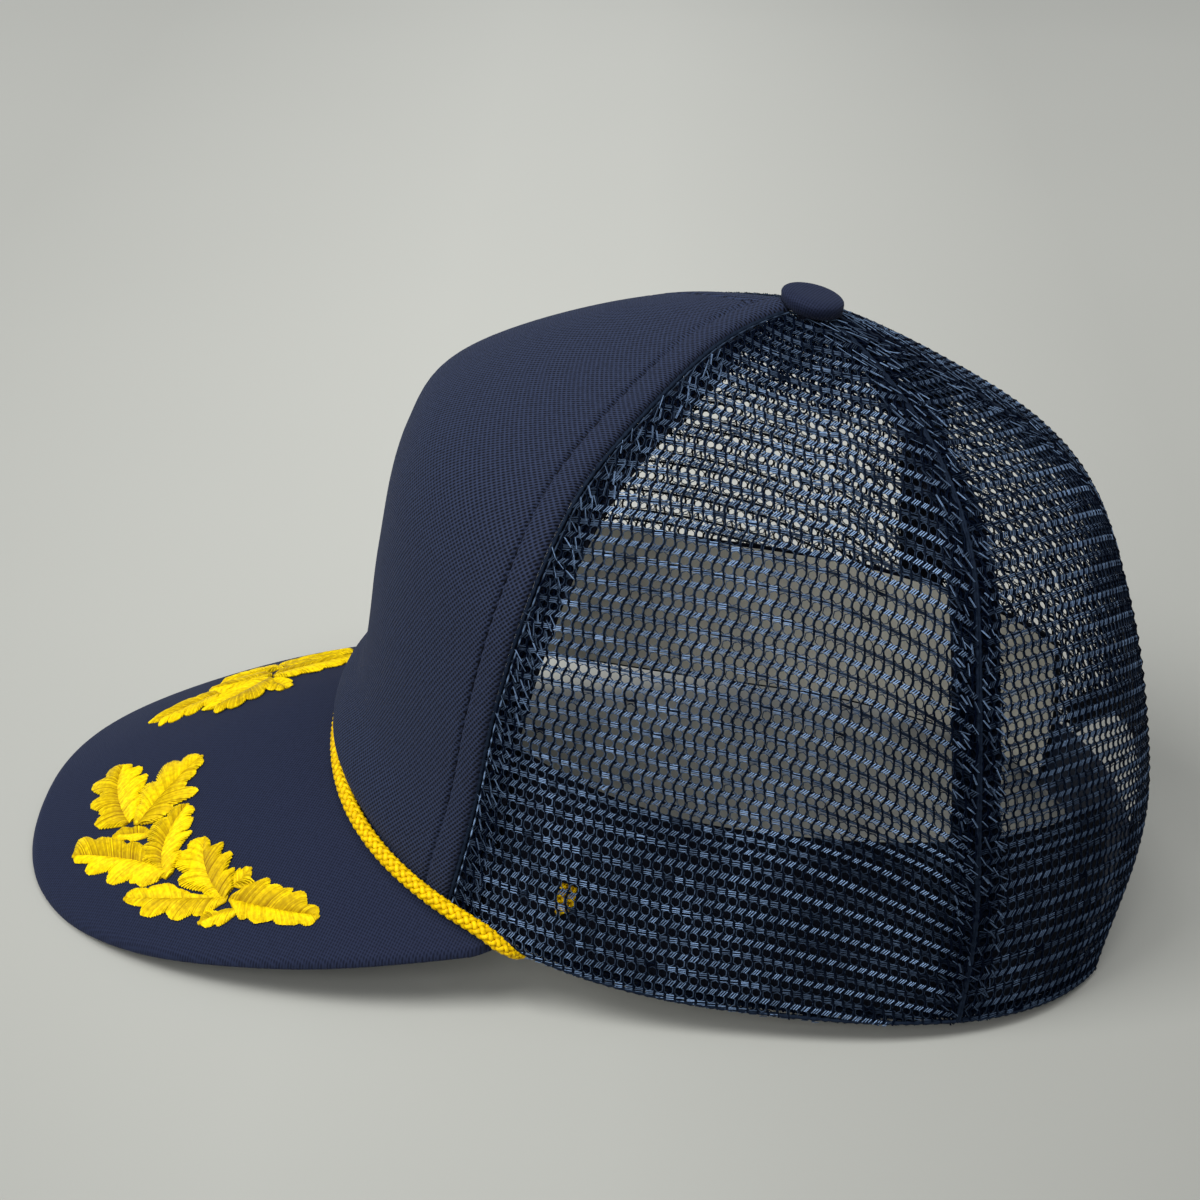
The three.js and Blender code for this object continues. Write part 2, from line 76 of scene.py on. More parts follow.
class Side(Enum):
    """The wearer's two sides, and which way each lies along X."""

    LEFT = 1
    RIGHT = -1

    @property
    def word(self) -> str:
        """The side's name, as the solids' names end in it."""
        return self.name.lower()


# The crown's surface


@dataclass(frozen=True)
class Crown:
    """The crown as rings from the hem, t = 0, to the button, t = 1. Angles run from the front towards +X.

    Each ring is four quarter ovals. Its row gives the front's y and z, the side's x, y and z, the back's y
    and z, and its squareness. A seam row gives the angles of the front seam and of the seam behind the side.
    """

    rings: tuple = (
        (-98.0, 32.5, 81.0, 5.0, 7.0, 105.0, 0.0, 2.6),
        (-93.0, 61.0, 82.0, 4.0, 35.0, 110.0, 28.0, 2.3),
        (-90.0, 89.0, 81.0, 4.0, 64.0, 106.0, 57.0, 2.3),
        (-85.0, 116.0, 77.0, 5.0, 93.0, 97.0, 88.0, 2.3),
        (-73.0, 133.0, 65.0, 8.0, 119.0, 83.0, 116.0, 2.15),
        (-34.0, 150.0, 40.0, 11.0, 141.0, 55.0, 136.0, 1.85),
        (11.0, 155.5, 0.0, 11.0, 155.5, 11.0, 155.5, 2.0),
    )
    seams: tuple = (
        (49.5, 120.0),
        (49.5, 120.0),
        (51.0, 119.5),
        (53.0, 120.0),
        (52.5, 122.5),
        (44.0, 130.0),
        (26.0, 143.0),
    )
    ridge_at: float = 98.0
    ridge_half_width: float = 6.5
    ridge_height: float = 2.4
    ridge_from: float = 0.42
    ridge_to: float = 0.94
    gather_from: float = 0.84
    gather_rise: float = 1.7
    move_back: float = 35.3

    def _row(self, table: tuple, t: Array) -> Array:
        """Runs a smooth curve through a table's rows.

        Args:
            table: The rows, from the hem to the button.
            t: Where along the table, from 0 to 1.

        Returns:
            The row's values at each t, along the last axis.
        """
        rows = np.asarray(table, float)
        last = len(rows) - 1
        along = np.asarray(t, float) * last
        start = np.clip(np.floor(along).astype(int), 0, last - 1)
        f = (along - start)[..., None]
        b, c = rows[start], rows[start + 1]
        a = np.where((start > 0)[..., None], rows[np.maximum(start - 1, 0)], 2 * b - c)
        d = np.where((start + 2 <= last)[..., None], rows[np.minimum(start + 2, last)], 2 * c - b)
        square = 2 * a - 5 * b + 4 * c - d
        cube = 3 * b - a - 3 * c + d
        return b + ((c - a) * f + square * f**2 + cube * f**3) / 2

    def seam(self, name: str, t: Array) -> Array:
        """The angle of the "front" or the "side" seam at each t."""
        return self._row(self.seams, t)[..., ("front", "side").index(name)]

    def bare(self, t: Array, angle: Array) -> Array:
        """Finds points on the bare surface.

        Args:
            t: How far up the crown, from 0 to 1.
            angle: Degrees round from the front.

        Returns:
            Points in millimetres, along the last axis.
        """
        t, angle = np.broadcast_arrays(np.asarray(t, float), np.asarray(angle, float))
        ring = np.moveaxis(self._row(self.rings, t), -1, 0)
        front_y, front_z, side_x, side_y, side_z, back_y, back_z, square = ring
        c, s = np.cos(np.radians(angle)), np.sin(np.radians(angle))
        k = (np.abs(s) ** square + np.abs(c) ** square) ** (-1 / square)
        reach = np.abs(c) * k
        y = side_y + (np.where(c > 0, front_y, back_y) - side_y) * reach
        tilt = (back_z - side_z) / np.maximum(back_y - side_y, 0.001)
        lift = np.where(c > 0, front_z - (side_z + tilt * (front_y - side_y)), 0)
        return np.stack([side_x * s * k, y, side_z + tilt * (y - side_y) + lift * reach**2], -1)

    def normal(self, t: Array, angle: Array) -> Array:
        """The outward unit normals of the bare surface."""
        step, turn = 0.004, 1.0
        up = self.bare(np.add(t, step), angle) - self.bare(np.subtract(t, step), angle)
        round_it = self.bare(t, np.add(angle, turn)) - self.bare(t, np.subtract(angle, turn))
        across = np.cross(round_it, up)
        return across / np.linalg.norm(across, axis=-1, keepdims=True)

    def point(self, t: Array, angle: Array, depth: Array = 0.0) -> Array:
        """Finds points that lie a depth inside the crown's surface, with its side ridge and its gathered top.

        Args:
            t: How far up the crown.
            angle: Degrees round from the front.
            depth: Millimetres inwards.

        Returns:
            Points in millimetres.
        """
        t, angle, depth = np.broadcast_arrays(*(np.asarray(x, float) for x in (t, angle, depth)))
        middle = (self.ridge_from + self.ridge_to) / 2
        ridge = self.ridge_height * _bump(np.abs(angle) - self.ridge_at, self.ridge_half_width)
        ridge = ridge * _bump(t - middle, middle - self.ridge_from)
        gather = self.gather_rise * _bump(1 - t, 1 - self.gather_from)
        return self.bare(t, angle) + self.normal(t, angle) * (ridge + gather - depth)[..., None]

    def ring_at(self, angle: Array, z: Array) -> Array:
        """The t at which the crown has a height, at each angle. It rises steadily up to its shoulder."""
        return _solve(lambda t: self.bare(t, angle)[..., 2], z, -0.2, 0.7)

    def angle_at(self, x: Array, z: Array) -> Array:
        """The angle behind the side at which the crown has this x and z."""
        return _solve(lambda a: -self.bare(self.ring_at(a, z), a)[..., 0], np.negative(x), 100.0, 180.0)

    def per_degree(self, t: Array, angle: Array) -> Array:
        """Millimetres along the ring for each degree."""
        step = self.bare(t, np.add(angle, 0.5)) - self.bare(t, np.subtract(angle, 0.5))
        return np.linalg.norm(step, axis=-1)


def _bump(distance: Array, half_width: float) -> Array:
    """A smooth bump: 1 at the middle and 0 at the half width."""
    x = np.minimum(np.abs(distance) / half_width, 1)
    return (1 - x * x) ** 2


def _solve(rising: Callable[[Array], Array], value: Array, low: float, high: float) -> Array:
    """Finds where a rising function reaches a value.

    Args:
        rising: The function, of an array.
        value: What it should reach, one number for each place.
        low: Below every answer.
        high: Above every answer.

    Returns:
        The answers.
    """
    value = np.asarray(value, float)
    a, b = np.full(value.shape, low), np.full(value.shape, high)
    for _ in range(40):
        middle = (a + b) / 2
        less = rising(middle) < value
        a, b = np.where(less, middle, a), np.where(less, b, middle)
    return (a + b) / 2


CROWN = Crown()


# Meshes


def to_frame(points: Array) -> Array:
    """Turns millimetres about the head's middle into metres in the row frame."""
    return (np.asarray(points, float) + (0.0, CROWN.move_back, 0.0)) * MM


def back_seam(t: Array) -> Array:
    """The angle of the seam down the middle of the back, at each t."""
    return np.full(np.shape(t), 180.0)


def run_length(points: Array) -> Array:
    """The distance along lines of points, from 0 at the start of each line."""
    steps = np.linalg.norm(np.diff(points, axis=-2), axis=-1)
    return np.concatenate([np.zeros((*steps.shape[:-1], 1)), np.cumsum(steps, axis=-1)], axis=-1)


def show(item: Item) -> Item:
    """Puts an object in the scene."""
    bpy.context.scene.collection.objects.link(item)
    return item


def make_mesh(name: str, points: Array, faces: Sequence, cloth: Array | None = None) -> Item:
    """Makes a smooth mesh object at the origin.

    Args:
        name: The piece's name.
        points: Its points in millimetres about the head's middle.
        faces: Its faces, as rows of point numbers.
        cloth: Each point's place on the flat cloth in millimetres, which becomes the UV map.

    Returns:
        The object.
    """
    mesh = bpy.data.meshes.new(name)
    mesh.from_pydata(to_frame(points).tolist(), [], [list(map(int, f)) for f in faces])
    mesh.validate()
    if cloth is not None:
        ends = np.empty(len(mesh.loops), np.int32)
        mesh.loops.foreach_get("vertex_index", ends)
        layer = mesh.uv_layers.new(name="cloth")
        layer.data.foreach_set("uv", (np.asarray(cloth, float)[ends] / UV_UNIT).ravel().astype(np.float32))
    mesh.shade_smooth()
    return show(bpy.data.objects.new(name, mesh))


def loop_solid(loops: Array) -> list[tuple[int, ...]]:
    """Joins closed loops into a tube with flat ends.

    Args:
        loops: Point numbers, one row for each loop.

    Returns:
        The faces.
    """
    loops = np.asarray(loops)
    after = np.roll(loops, -1, axis=1)
    sides = np.stack([loops[:-1], after[:-1], after[1:], loops[1:]], -1).reshape(-1, 4)
    return [tuple(f) for f in sides] + [tuple(loops[0][::-1]), tuple(loops[-1])]


def turn_outwards(item: Item) -> None:
    """Turns a closed mesh's faces over if they enclose a negative volume."""
    mesh = item.data
    mesh.calc_loop_triangles()
    points = np.empty(len(mesh.vertices) * 3, np.float32)
    mesh.vertices.foreach_get("co", points)
    ends = np.empty(len(mesh.loop_triangles) * 3, np.int32)
    mesh.loop_triangles.foreach_get("vertices", ends)
    a, b, c = points.reshape(-1, 3).astype(float)[ends.reshape(-1, 3)].transpose(1, 0, 2)
    if (a * np.cross(b, c)).sum() < 0:
        mesh.flip_normals()


def dress(item: Item, material: Material, slot: str, *nodes: str) -> Item:
    """Gives a finished piece its material and its place in the frame.

    Args:
        item: The piece.
        material: Its material.
        slot: Not used.
        nodes: The solids that it stands for.

    Returns:
        The piece.
    """
    if not item.data.materials:
        item.data.materials.append(material)
    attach(item, BODY)
    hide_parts(*nodes)
    item.data.calc_loop_triangles()
    log.info("%s: %d triangles for %s", item.name, len(item.data.loop_triangles), ", ".join(nodes))
    return item


# Geometry Nodes


class NodeBuilder:
    """Builds a node tree step by step."""

    def __init__(self, tree: bpy.types.NodeTree) -> None:
        """Starts on a tree.

        Args:
            tree: The tree.
        """
        self.tree = tree

    def node(self, kind: str, inputs: dict | None = None, **settings: object) -> bpy.types.Node:
        """Adds a node.

        Args:
            kind: Its type.
            inputs: What its inputs take, by name or number: a socket or a value.
            settings: Its own settings.

        Returns:
            The node.
        """
        made = self.tree.nodes.new(kind)
        for name, value in settings.items():
            setattr(made, name, value)
        for name, value in (inputs or {}).items():
            if isinstance(value, Socket):
                self.tree.links.new(value, made.inputs[name])
            else:
                made.inputs[name].default_value = value
        return made

    def math(self, operation: str, *values: object) -> Socket:
        """The result of a Math node on sockets or numbers."""
        return self.node("ShaderNodeMath", dict(enumerate(values)), operation=operation).outputs[0]


class NodeGraph(NodeBuilder):
    """A Geometry Nodes tree with named inputs."""

    def __init__(self, name: str) -> None:
        """Starts an empty tree that takes and gives a geometry.

        Args:
            name: The tree's name.
        """
        super().__init__(bpy.data.node_groups.new(name, "GeometryNodeTree"))
        self.tree.interface.new_socket("Geometry", in_out="INPUT", socket_type="NodeSocketGeometry")
        self.tree.interface.new_socket("Geometry", in_out="OUTPUT", socket_type="NodeSocketGeometry")
        self.ids: dict[str, str] = {}
        self.start: bpy.types.Node | None = None

    def add_input(self, name: str, kind: str, value: object = None) -> None:
        """Adds a named input.

        Args:
            name: Its name.
            kind: Its socket type, without the NodeSocket prefix.
            value: Its default.
        """
        socket = self.tree.interface.new_socket(name, in_out="INPUT", socket_type="NodeSocket" + kind)
        if value is not None:
            socket.default_value = value
        self.ids[name] = socket.identifier

    def source(self, name: str) -> Socket:
        """The group input's socket of that name."""
        if self.start is None:
            self.start = self.tree.nodes.new("NodeGroupInput")
        return self.start.outputs[name]

    def close(self, geometry: Socket) -> None:
        """Ends the tree: real geometry, smooth and in the Material input's material."""
        real = self.node("GeometryNodeRealizeInstances", {"Geometry": geometry})
        smooth = self.node("GeometryNodeSetShadeSmooth", {"Geometry": real.outputs[0]})
        inputs = {"Geometry": smooth.outputs[0], "Material": self.source("Material")}
        painted = self.node("GeometryNodeSetMaterial", inputs)
        end = self.tree.nodes.new("NodeGroupOutput")
        self.tree.links.new(painted.outputs[0], end.inputs[0])

    def bake(self, item: Item, **values: object) -> Item:
        """Runs the tree on an object and keeps the result as a plain mesh.

        Args:
            item: The object, which is replaced.
            values: What the inputs take. An underscore in a name stands for a space.

        Returns:
            The new object, under the old one's name.
        """
        modifier = item.modifiers.new("shape", "NODES")
        modifier.node_group = self.tree
        for name, value in values.items():
            modifier[self.ids[name.replace("_", " ")]] = value
        graph = bpy.context.evaluated_depsgraph_get()
        graph.update()
        mesh = bpy.data.meshes.new_from_object(item.evaluated_get(graph))
        name = item.name
        bpy.data.objects.remove(item)
        mesh.name = name
        return show(bpy.data.objects.new(name, mesh))


def yarn_graph() -> NodeGraph:
    """Sweeps a round section along each strand of edges, as thick as its radius attribute says."""
    graph = NodeGraph("yarn")
    graph.add_input("Sides", "Int", 3)
    graph.add_input("Material", "Material")
    strands = graph.node("GeometryNodeMeshToCurve", {"Mesh": graph.source("Geometry")})
    inputs = {"Resolution": graph.source("Sides"), "Radius": 1.0}
    section = graph.node("GeometryNodeCurvePrimitiveCircle", inputs)
    radius = graph.node("GeometryNodeInputNamedAttribute", {"Name": "radius"}, data_type="FLOAT")
    inputs = {
        "Curve": strands.outputs[0],
        "Profile Curve": section.outputs["Curve"],
        "Scale": radius.outputs["Attribute"],
        "Fill Caps": True,
    }
    graph.close(graph.node("GeometryNodeCurveToMesh", inputs).outputs[0])
    return graph


def stitch_graph() -> NodeGraph:
    """Lays raised stitches end to end along a line of edges, with their backs to its out attribute."""
    graph = NodeGraph("stitches")
    for name, value in (("Pitch", 3.0), ("Length", 2.4), ("Width", 0.5), ("Height", 0.4)):
        graph.add_input(name, "Float", value * MM)
    graph.add_input("Turn", "Float", 0.05)
    graph.add_input("Seed", "Int", 1)
    graph.add_input("Material", "Material")
    line = graph.node("GeometryNodeMeshToCurve", {"Mesh": graph.source("Geometry")})
    inputs = {"Curve": line.outputs[0], "Length": graph.source("Pitch")}
    spaced = graph.node("GeometryNodeResampleCurve", inputs, mode="LENGTH")
    out = graph.node("GeometryNodeInputNamedAttribute", {"Name": "out"}, data_type="FLOAT_VECTOR")
    tangent = graph.node("GeometryNodeInputTangent")
    inputs = {0: tangent.outputs[0], 1: out.outputs["Attribute"]}
    lay = graph.node("FunctionNodeAxesToRotation", inputs, primary_axis="X", secondary_axis="Z")
    least = graph.math("MULTIPLY", graph.source("Turn"), -1.0)
    inputs = {2: least, 3: graph.source("Turn"), "Seed": graph.source("Seed")}
    lean = graph.node("FunctionNodeRandomValue", inputs, data_type="FLOAT")
    inputs = {"Axis": (0.0, 0.0, 1.0), "Angle": lean.outputs[1]}
    spin = graph.node("FunctionNodeAxisAngleToRotation", inputs)
    inputs = {0: lay.outputs[0], 1: spin.outputs[0]}
    both = graph.node("FunctionNodeRotateRotation", inputs, rotation_space="LOCAL")
    names = {"X": "Length", "Y": "Width", "Z": "Height"}
    halves = {axis: graph.math("MULTIPLY", graph.source(name), 0.5) for axis, name in names.items()}
    size = graph.node("ShaderNodeCombineXYZ", halves)
    bead = graph.node("GeometryNodeMeshUVSphere", {"Segments": 8, "Rings": 6, "Radius": 1.0})
    inputs = {"Geometry": bead.outputs[0], "Rotation": (0.0, math.pi / 2, 0.0)}
    along = graph.node("GeometryNodeTransform", inputs)
    inputs = {
        "Points": spaced.outputs[0],
        "Instance": along.outputs[0],
        "Rotation": both.outputs[0],
        "Scale": size.outputs[0],
    }
    graph.close(graph.node("GeometryNodeInstanceOnPoints", inputs).outputs[0])
    return graph


class Strands:
    """Centre lines of yarns, gathered as one network of points and edges."""

    def __init__(self) -> None:
        """Starts with no strands."""
        self.points: list[Array] = []
        self.radius: list[Array] = []
        self.tone: list[Array] = []
        self.edges: list[Array] = []
        self.count = 0

    def add(self, lines: Array, radius: Array, tone: Array, closed: bool = False) -> None:
        """Adds strands with the same number of points.

        Args:
            lines: Points, as strands by points by three.
            radius: Their radius, which fits strands by points.
            tone: How light the yarn is there, painted light and shade included, which fits strands by points.
            closed: Whether each strand ends where it starts.
        """
        lines = np.asarray(lines, float)
        strands, steps = lines.shape[:2]
        index = self.count + np.arange(strands * steps).reshape(strands, steps)
        pairs = [np.stack([index[:, :-1], index[:, 1:]], -1).reshape(-1, 2)]
        if closed:
            pairs.append(np.stack([index[:, -1], index[:, 0]], -1))
        self.points.append(lines.reshape(-1, 3))
        self.radius.append(np.broadcast_to(radius, (strands, steps)).ravel())
        self.tone.append(np.broadcast_to(tone, (strands, steps)).ravel())
        self.edges.append(np.concatenate(pairs))
        self.count += strands * steps

    def gathered(self) -> tuple[Array, Array, Array, Array]:
        """All points, radii, tones and edges."""
        return tuple(np.concatenate(x) for x in (self.points, self.radius, self.tone, self.edges))

    def make(self, name: str, place: Callable[[Array], tuple] | None = None) -> Item:
        """Makes the network as an object of edges.

        Args:
            name: The object's name.
            place: Turns flat points to points in millimetres, and gives which of them are kept and the share
                of their tone that the yarns keep there.

        Returns:
            The object, with radius and tone attributes.
        """
        points, radius, tone, edges = self.gathered()
        if place is not None:
            points, kept, share = place(points)
            tone = tone * share
            edges = edges[kept[edges].all(axis=1)]
            used, edges = np.unique(edges, return_inverse=True)
            edges = edges.reshape(-1, 2)
            points, radius, tone = points[used], radius[used], tone[used]
        mesh = bpy.data.meshes.new(name)
        mesh.vertices.add(len(points))
        mesh.vertices.foreach_set("co", to_frame(points).ravel().astype(np.float32))
        mesh.edges.add(len(edges))
        mesh.edges.foreach_set("vertices", edges.ravel().astype(np.int32))
        for word, values in (("radius", radius * MM), ("tone", tone)):
            layer = mesh.attributes.new(word, "FLOAT", "POINT")
            layer.data.foreach_set("value", values.astype(np.float32))
        return show(bpy.data.objects.new(name, mesh))


def stitch_line(name: str, points: Array, outwards: Array) -> Item:
    """Makes a line that stitches are laid on.

    Args:
        name: The object's name.
        points: The line's points in millimetres.
        outwards: The cloth's outward direction at each.

    Returns:
        The object, with an out attribute.
    """
    strands = Strands()
    strands.add(points[None], 1.0, 1.0)
    item = strands.make(name)
    layer = item.data.attributes.new("out", "FLOAT_VECTOR", "POINT")
    layer.data.foreach_set("vector", np.asarray(outwards, float).ravel().astype(np.float32))
    return item


def join(name: str, items: list[Item]) -> Item:
    """Joins plain mesh objects into the first, under a new name."""
    with bpy.context.temp_override(
        active_object=items[0], object=items[0], selected_editable_objects=items, selected_objects=items
    ):
        bpy.ops.object.join()
    items[0].name = name
    items[0].data.name = name
    return items[0]


# Finishes


class Shader(NodeBuilder):
    """A material's node tree."""

    def __init__(self, name: str) -> None:
        """Starts a material with one Principled shader.

        Args:
            name: The material's name.
        """
        self.material = bpy.data.materials.new(name)
        self.material.use_nodes = True
        super().__init__(self.material.node_tree)
        self.main = self.tree.nodes["Principled BSDF"]

    def add(self, one: object, other: object) -> Socket:
        """The sum of two sockets or numbers."""
        return self.math("ADD", one, other)

    def times(self, one: object, other: object) -> Socket:
        """The product of two sockets or numbers."""
        return self.math("MULTIPLY", one, other)

    def waves(self, place: Socket, pitch: float, low: float = -1.0, high: float = 1.0) -> Socket:
        """A sine wave along an axis of the cloth's UV map, with its pitch in millimetres."""
        wave = self.math("SINE", self.times(place, UV_UNIT * 2 * math.pi / pitch))
        return wave if (low, high) == (-1.0, 1.0) else self.remap(wave, -1, 1, low, high)

    def noise(self, scale: float, detail: float = 2.0, vector: Socket | None = None) -> Socket:
        """Noise on Object coordinates, or on another vector."""
        place = vector or self.node("ShaderNodeTexCoord").outputs["Object"]
        made = self.node("ShaderNodeTexNoise", {"Vector": place, "Scale": scale, "Detail": detail})
        return made.outputs["Fac"]

    def remap(self, value: Socket, low: float, high: float, to_low: float, to_high: float) -> Socket:
        """Maps a value from one range to another."""
        sockets = {"Value": value, "From Min": low, "From Max": high, "To Min": to_low, "To Max": to_high}
        return self.node("ShaderNodeMapRange", sockets).outputs[0]

    def blend(self, share: Socket, dark: tuple, light: tuple) -> Socket:
        """A colour between a dark and a light one."""
        made = self.node("ShaderNodeMix", {0: share}, data_type="RGBA")
        made.inputs[6].default_value = (*dark, 1.0)
        made.inputs[7].default_value = (*light, 1.0)
        return made.outputs[2]

    def bump(self, height: Socket, distance: float, strength: float = 1.0) -> None:
        """Bumps the main shader, with the height in millimetres at full value."""
        sockets = {"Height": height, "Distance": distance * MM, "Strength": strength}
        made = self.node("ShaderNodeBump", sockets)
        self.tree.links.new(made.outputs[0], self.main.inputs["Normal"])

    def colour(self, socket: Socket) -> None:
        """Links the base colour."""
        self.tree.links.new(socket, self.main.inputs["Base Color"])

    def fixed(self, **values: float) -> None:
        """Sets uniform values on the main shader. An underscore in a name stands for a space."""
        for name, value in values.items():
            self.main.inputs[name.replace("_", " ")].default_value = value


@dataclass(frozen=True)
class FoamCloth:
    """Navy knitted cloth over foam, with fine slanting ribs."""

    name: str = "foam_cloth"
    dark: tuple = (0.0002, 0.0006, 0.003)
    light: tuple = (0.0196, 0.0285, 0.0625)
    rib_pitch: float = 0.86
    rib_slant: float = -62.0
    rib_depth: float = 0.26
    loop_share: float = 1.04
    loop_low: float = 0.3
    pit_shade: float = 1.6
    fibre: float = 1300.0

    def build(self) -> Material:
        """Builds the material."""
        shader = Shader(self.name)
        place = shader.node("ShaderNodeUVMap", uv_map="cloth").outputs[0]
        turn = (0.0, 0.0, math.radians(self.rib_slant))
        turned = shader.node("ShaderNodeMapping", {"Vector": place, "Rotation": turn}).outputs[0]
        split = shader.node("ShaderNodeSeparateXYZ", {0: turned})
        ribs = shader.waves(split.outputs[1], self.rib_pitch, 0, 1)
        loops = shader.waves(split.outputs[0], self.rib_pitch * self.loop_share, self.loop_low, 1)
        pits = shader.times(ribs, loops)
        knit = shader.math("SUBTRACT", 1.0, pits)
        mottled = shader.remap(shader.noise(self.fibre, 3.0), 0.3, 0.7, -0.2, 0.26)
        # The knit's pits, low in its bump, are painted darker by pit_shade: painted shade in the knit's
        # hollows.
        share = shader.add(shader.math("SUBTRACT", 1.02, shader.times(pits, self.pit_shade)), mottled)
        shader.colour(shader.blend(share, self.dark, self.light))
        soft = shader.times(shader.noise(30.0, 2.0), 3.0)
        shader.bump(shader.add(knit, soft), self.rib_depth)
        shader.fixed(Roughness=0.85, Specular_IOR_Level=0.18, Sheen_Weight=0.06, Sheen_Roughness=0.5)
        shader.main.inputs["Sheen Tint"].default_value = (0.3, 0.4, 0.75, 1.0)
        return shader.material


@dataclass(frozen=True)
class PaleLining:
    """A pale, porous face: foam, or a brushed cotton lining."""

    name: str
    dark: tuple
    light: tuple
    pore: float

    def build(self) -> Material:
        """Builds the material."""
        shader = Shader(self.name)
        pores = shader.noise(1000.0 / self.pore, 3.0)
        # The same noise paints the face darker where its bump is low: painted shade in the pores.
        shader.colour(shader.blend(pores, self.dark, self.light))
        shader.bump(pores, 0.15)
        shader.fixed(Roughness=0.95, Specular_IOR_Level=0.1)
        return shader.material


@dataclass(frozen=True)
class Yarn:
    """Shiny knitted yarn that is darker or lighter by its tone attribute."""

    name: str
    dark: tuple
    light: tuple
    roughness: float
    specular: float
    fleck: float = 900.0
    gloss: tuple = (1.0, 1.0, 1.0)

    def build(self) -> Material:
        """Builds the material."""
        shader = Shader(self.name)
        tone = shader.node("ShaderNodeAttribute", attribute_name="tone").outputs["Fac"]
        fleck = shader.remap(shader.noise(self.fleck, 1.0), 0.3, 0.7, 0.7, 1.3)
        shader.colour(shader.blend(shader.times(tone, fleck), self.dark, self.light))
        shader.fixed(Roughness=self.roughness, Specular_IOR_Level=self.specular, Sheen_Weight=0.0)
        shader.main.inputs["Specular Tint"].default_value = (*self.gloss, 1.0)
        return shader.material


@dataclass(frozen=True)
class WovenCloth:
    """Plain woven cloth, such as a tape's or a sweatband's."""

    name: str
    dark: tuple
    light: tuple
    thread: float = 0.5
    roughness: float = 0.85

    def build(self) -> Material:
        """Builds the material."""
        shader = Shader(self.name)
        place = shader.node("ShaderNodeUVMap", uv_map="cloth").outputs[0]
        split = shader.node("ShaderNodeSeparateXYZ", {0: place})
        warp, weft = (shader.waves(split.outputs[axis], 2 * self.thread) for axis in (0, 1))
        weave = shader.remap(shader.times(warp, weft), -1, 1, 0, 1)
        # The weave is painted darker where its bump is low: painted shade between the threads. The noise is
        # the cloth's own uneven tone.
        share = shader.add(shader.times(weave, 0.5), shader.times(shader.noise(200.0), 0.5))
        shader.colour(shader.blend(share, self.dark, self.light))
        shader.bump(weave, 0.06)
        shader.fixed(Roughness=self.roughness, Specular_IOR_Level=0.12, Sheen_Weight=0.04)
        return shader.material


@dataclass(frozen=True)
class StrapPlastic:
    """Smooth dark plastic with a soft gloss and a fine moulded grain."""

    dark: tuple = (0.008, 0.014, 0.034)
    light: tuple = (0.012, 0.02, 0.046)

    def build(self) -> Material:
        """Builds the material."""
        shader = Shader("strap_plastic")
        grain = shader.noise(1400.0, 2.0)
        shader.colour(shader.blend(shader.noise(40.0), self.dark, self.light))
        shader.bump(grain, 0.03)
        shader.fixed(Roughness=0.42, Specular_IOR_Level=0.5)
        return shader.material


@dataclass(frozen=True)
class Floor:
    """A pale surface, with painted shade: darker towards the camera and to either side of the cap."""

    far: tuple = (0.605, 0.61, 0.562)
    # near is the colour painted nearest the camera, as shade; far is the lit colour.
    near: tuple = (0.19, 0.192, 0.177)
    edge_share: float = 0.238

    def build(self) -> Material:
        """Builds the material: palest far behind the cap and straight behind it, with painted shade towards
        the camera and to either side.
        """
        shader = Shader("floor")
        place = shader.node("ShaderNodeTexCoord").outputs["Object"]
        split = shader.node("ShaderNodeSeparateXYZ", {0: place})
        # Painted shade: darker from far behind the cap towards the camera, and to either side of the line
        # straight behind it.
        away = shader.math("POWER", shader.remap(split.outputs[0], 0.32, -0.9, 0, 1), 0.5)
        uneven = shader.remap(shader.noise(3.0), 0, 1, -0.03, 0.03)
        aside = shader.math("ABSOLUTE", shader.add(split.outputs[1], 0.03))
        painted_side_shade = shader.remap(aside, 0.04, 0.24, 0, self.edge_share)
        share = shader.math("SUBTRACT", shader.add(away, uneven), painted_side_shade)
        shader.colour(shader.blend(share, self.near, self.far))
        shader.fixed(Roughness=0.9, Specular_IOR_Level=0.2)
        return shader.material


PALE = ((0.72, 0.7, 0.61), (0.84, 0.82, 0.73))
BLUE_GLOSS = (0.5, 0.75, 1.0)
GOLD_GLOSS = (1.0, 0.85, 0.4)


def built(finish: object) -> Material:
    """A field that holds a finish's material, built when the finishes are."""
    return field(default_factory=finish.build)


@dataclass
class Finishes:
    """Every finish of the cap, each built once."""

    foam_cloth: Material = built(FoamCloth())
    brim_cloth: Material = built(
        FoamCloth("brim_cloth", (0.0026, 0.0046, 0.0155), (0.011, 0.0162, 0.0405), 0.7, 24.0, 0.1)
    )
    net: Material = built(
        Yarn("net_yarn", (0.0004, 0.0014, 0.006), (0.225, 0.34, 0.54), 0.5, 0.03, gloss=BLUE_GLOSS)
    )
    tape: Material = built(WovenCloth("tape_cloth", (0.001, 0.0016, 0.0045), (0.0028, 0.0044, 0.011)))
    band: Material = built(WovenCloth("band_cloth", (0.001, 0.0018, 0.005), (0.003, 0.005, 0.013), 0.7))
    cord: Material = built(
        Yarn("gold_cord", (0.24, 0.1, 0.0003), (0.86, 0.56, 0.0015), 0.45, 0.14, gloss=GOLD_GLOSS)
    )
    thread: Material = built(
        Yarn("gold_thread", (0.26, 0.14, 0.0003), (0.84, 0.61, 0.0025), 0.42, 0.14, gloss=GOLD_GLOSS)
    )
    stitch: Material = built(Yarn("navy_thread", (0.0006, 0.001, 0.003), (0.0016, 0.0026, 0.007), 0.6, 0.1))
    foam: Material = built(PaleLining("foam_inside", *PALE, 0.7))
    lining: Material = built(PaleLining("band_lining", *PALE, 0.4))
    strap: Material = built(StrapPlastic())
    floor: Material = built(Floor())


@dataclass
class Workshop:
    """What every maker needs: the finishes and the node trees."""

    finishes: Finishes = field(default_factory=Finishes)
    yarn: NodeGraph = field(default_factory=yarn_graph)
    stitches: NodeGraph = field(default_factory=stitch_graph)


# Net


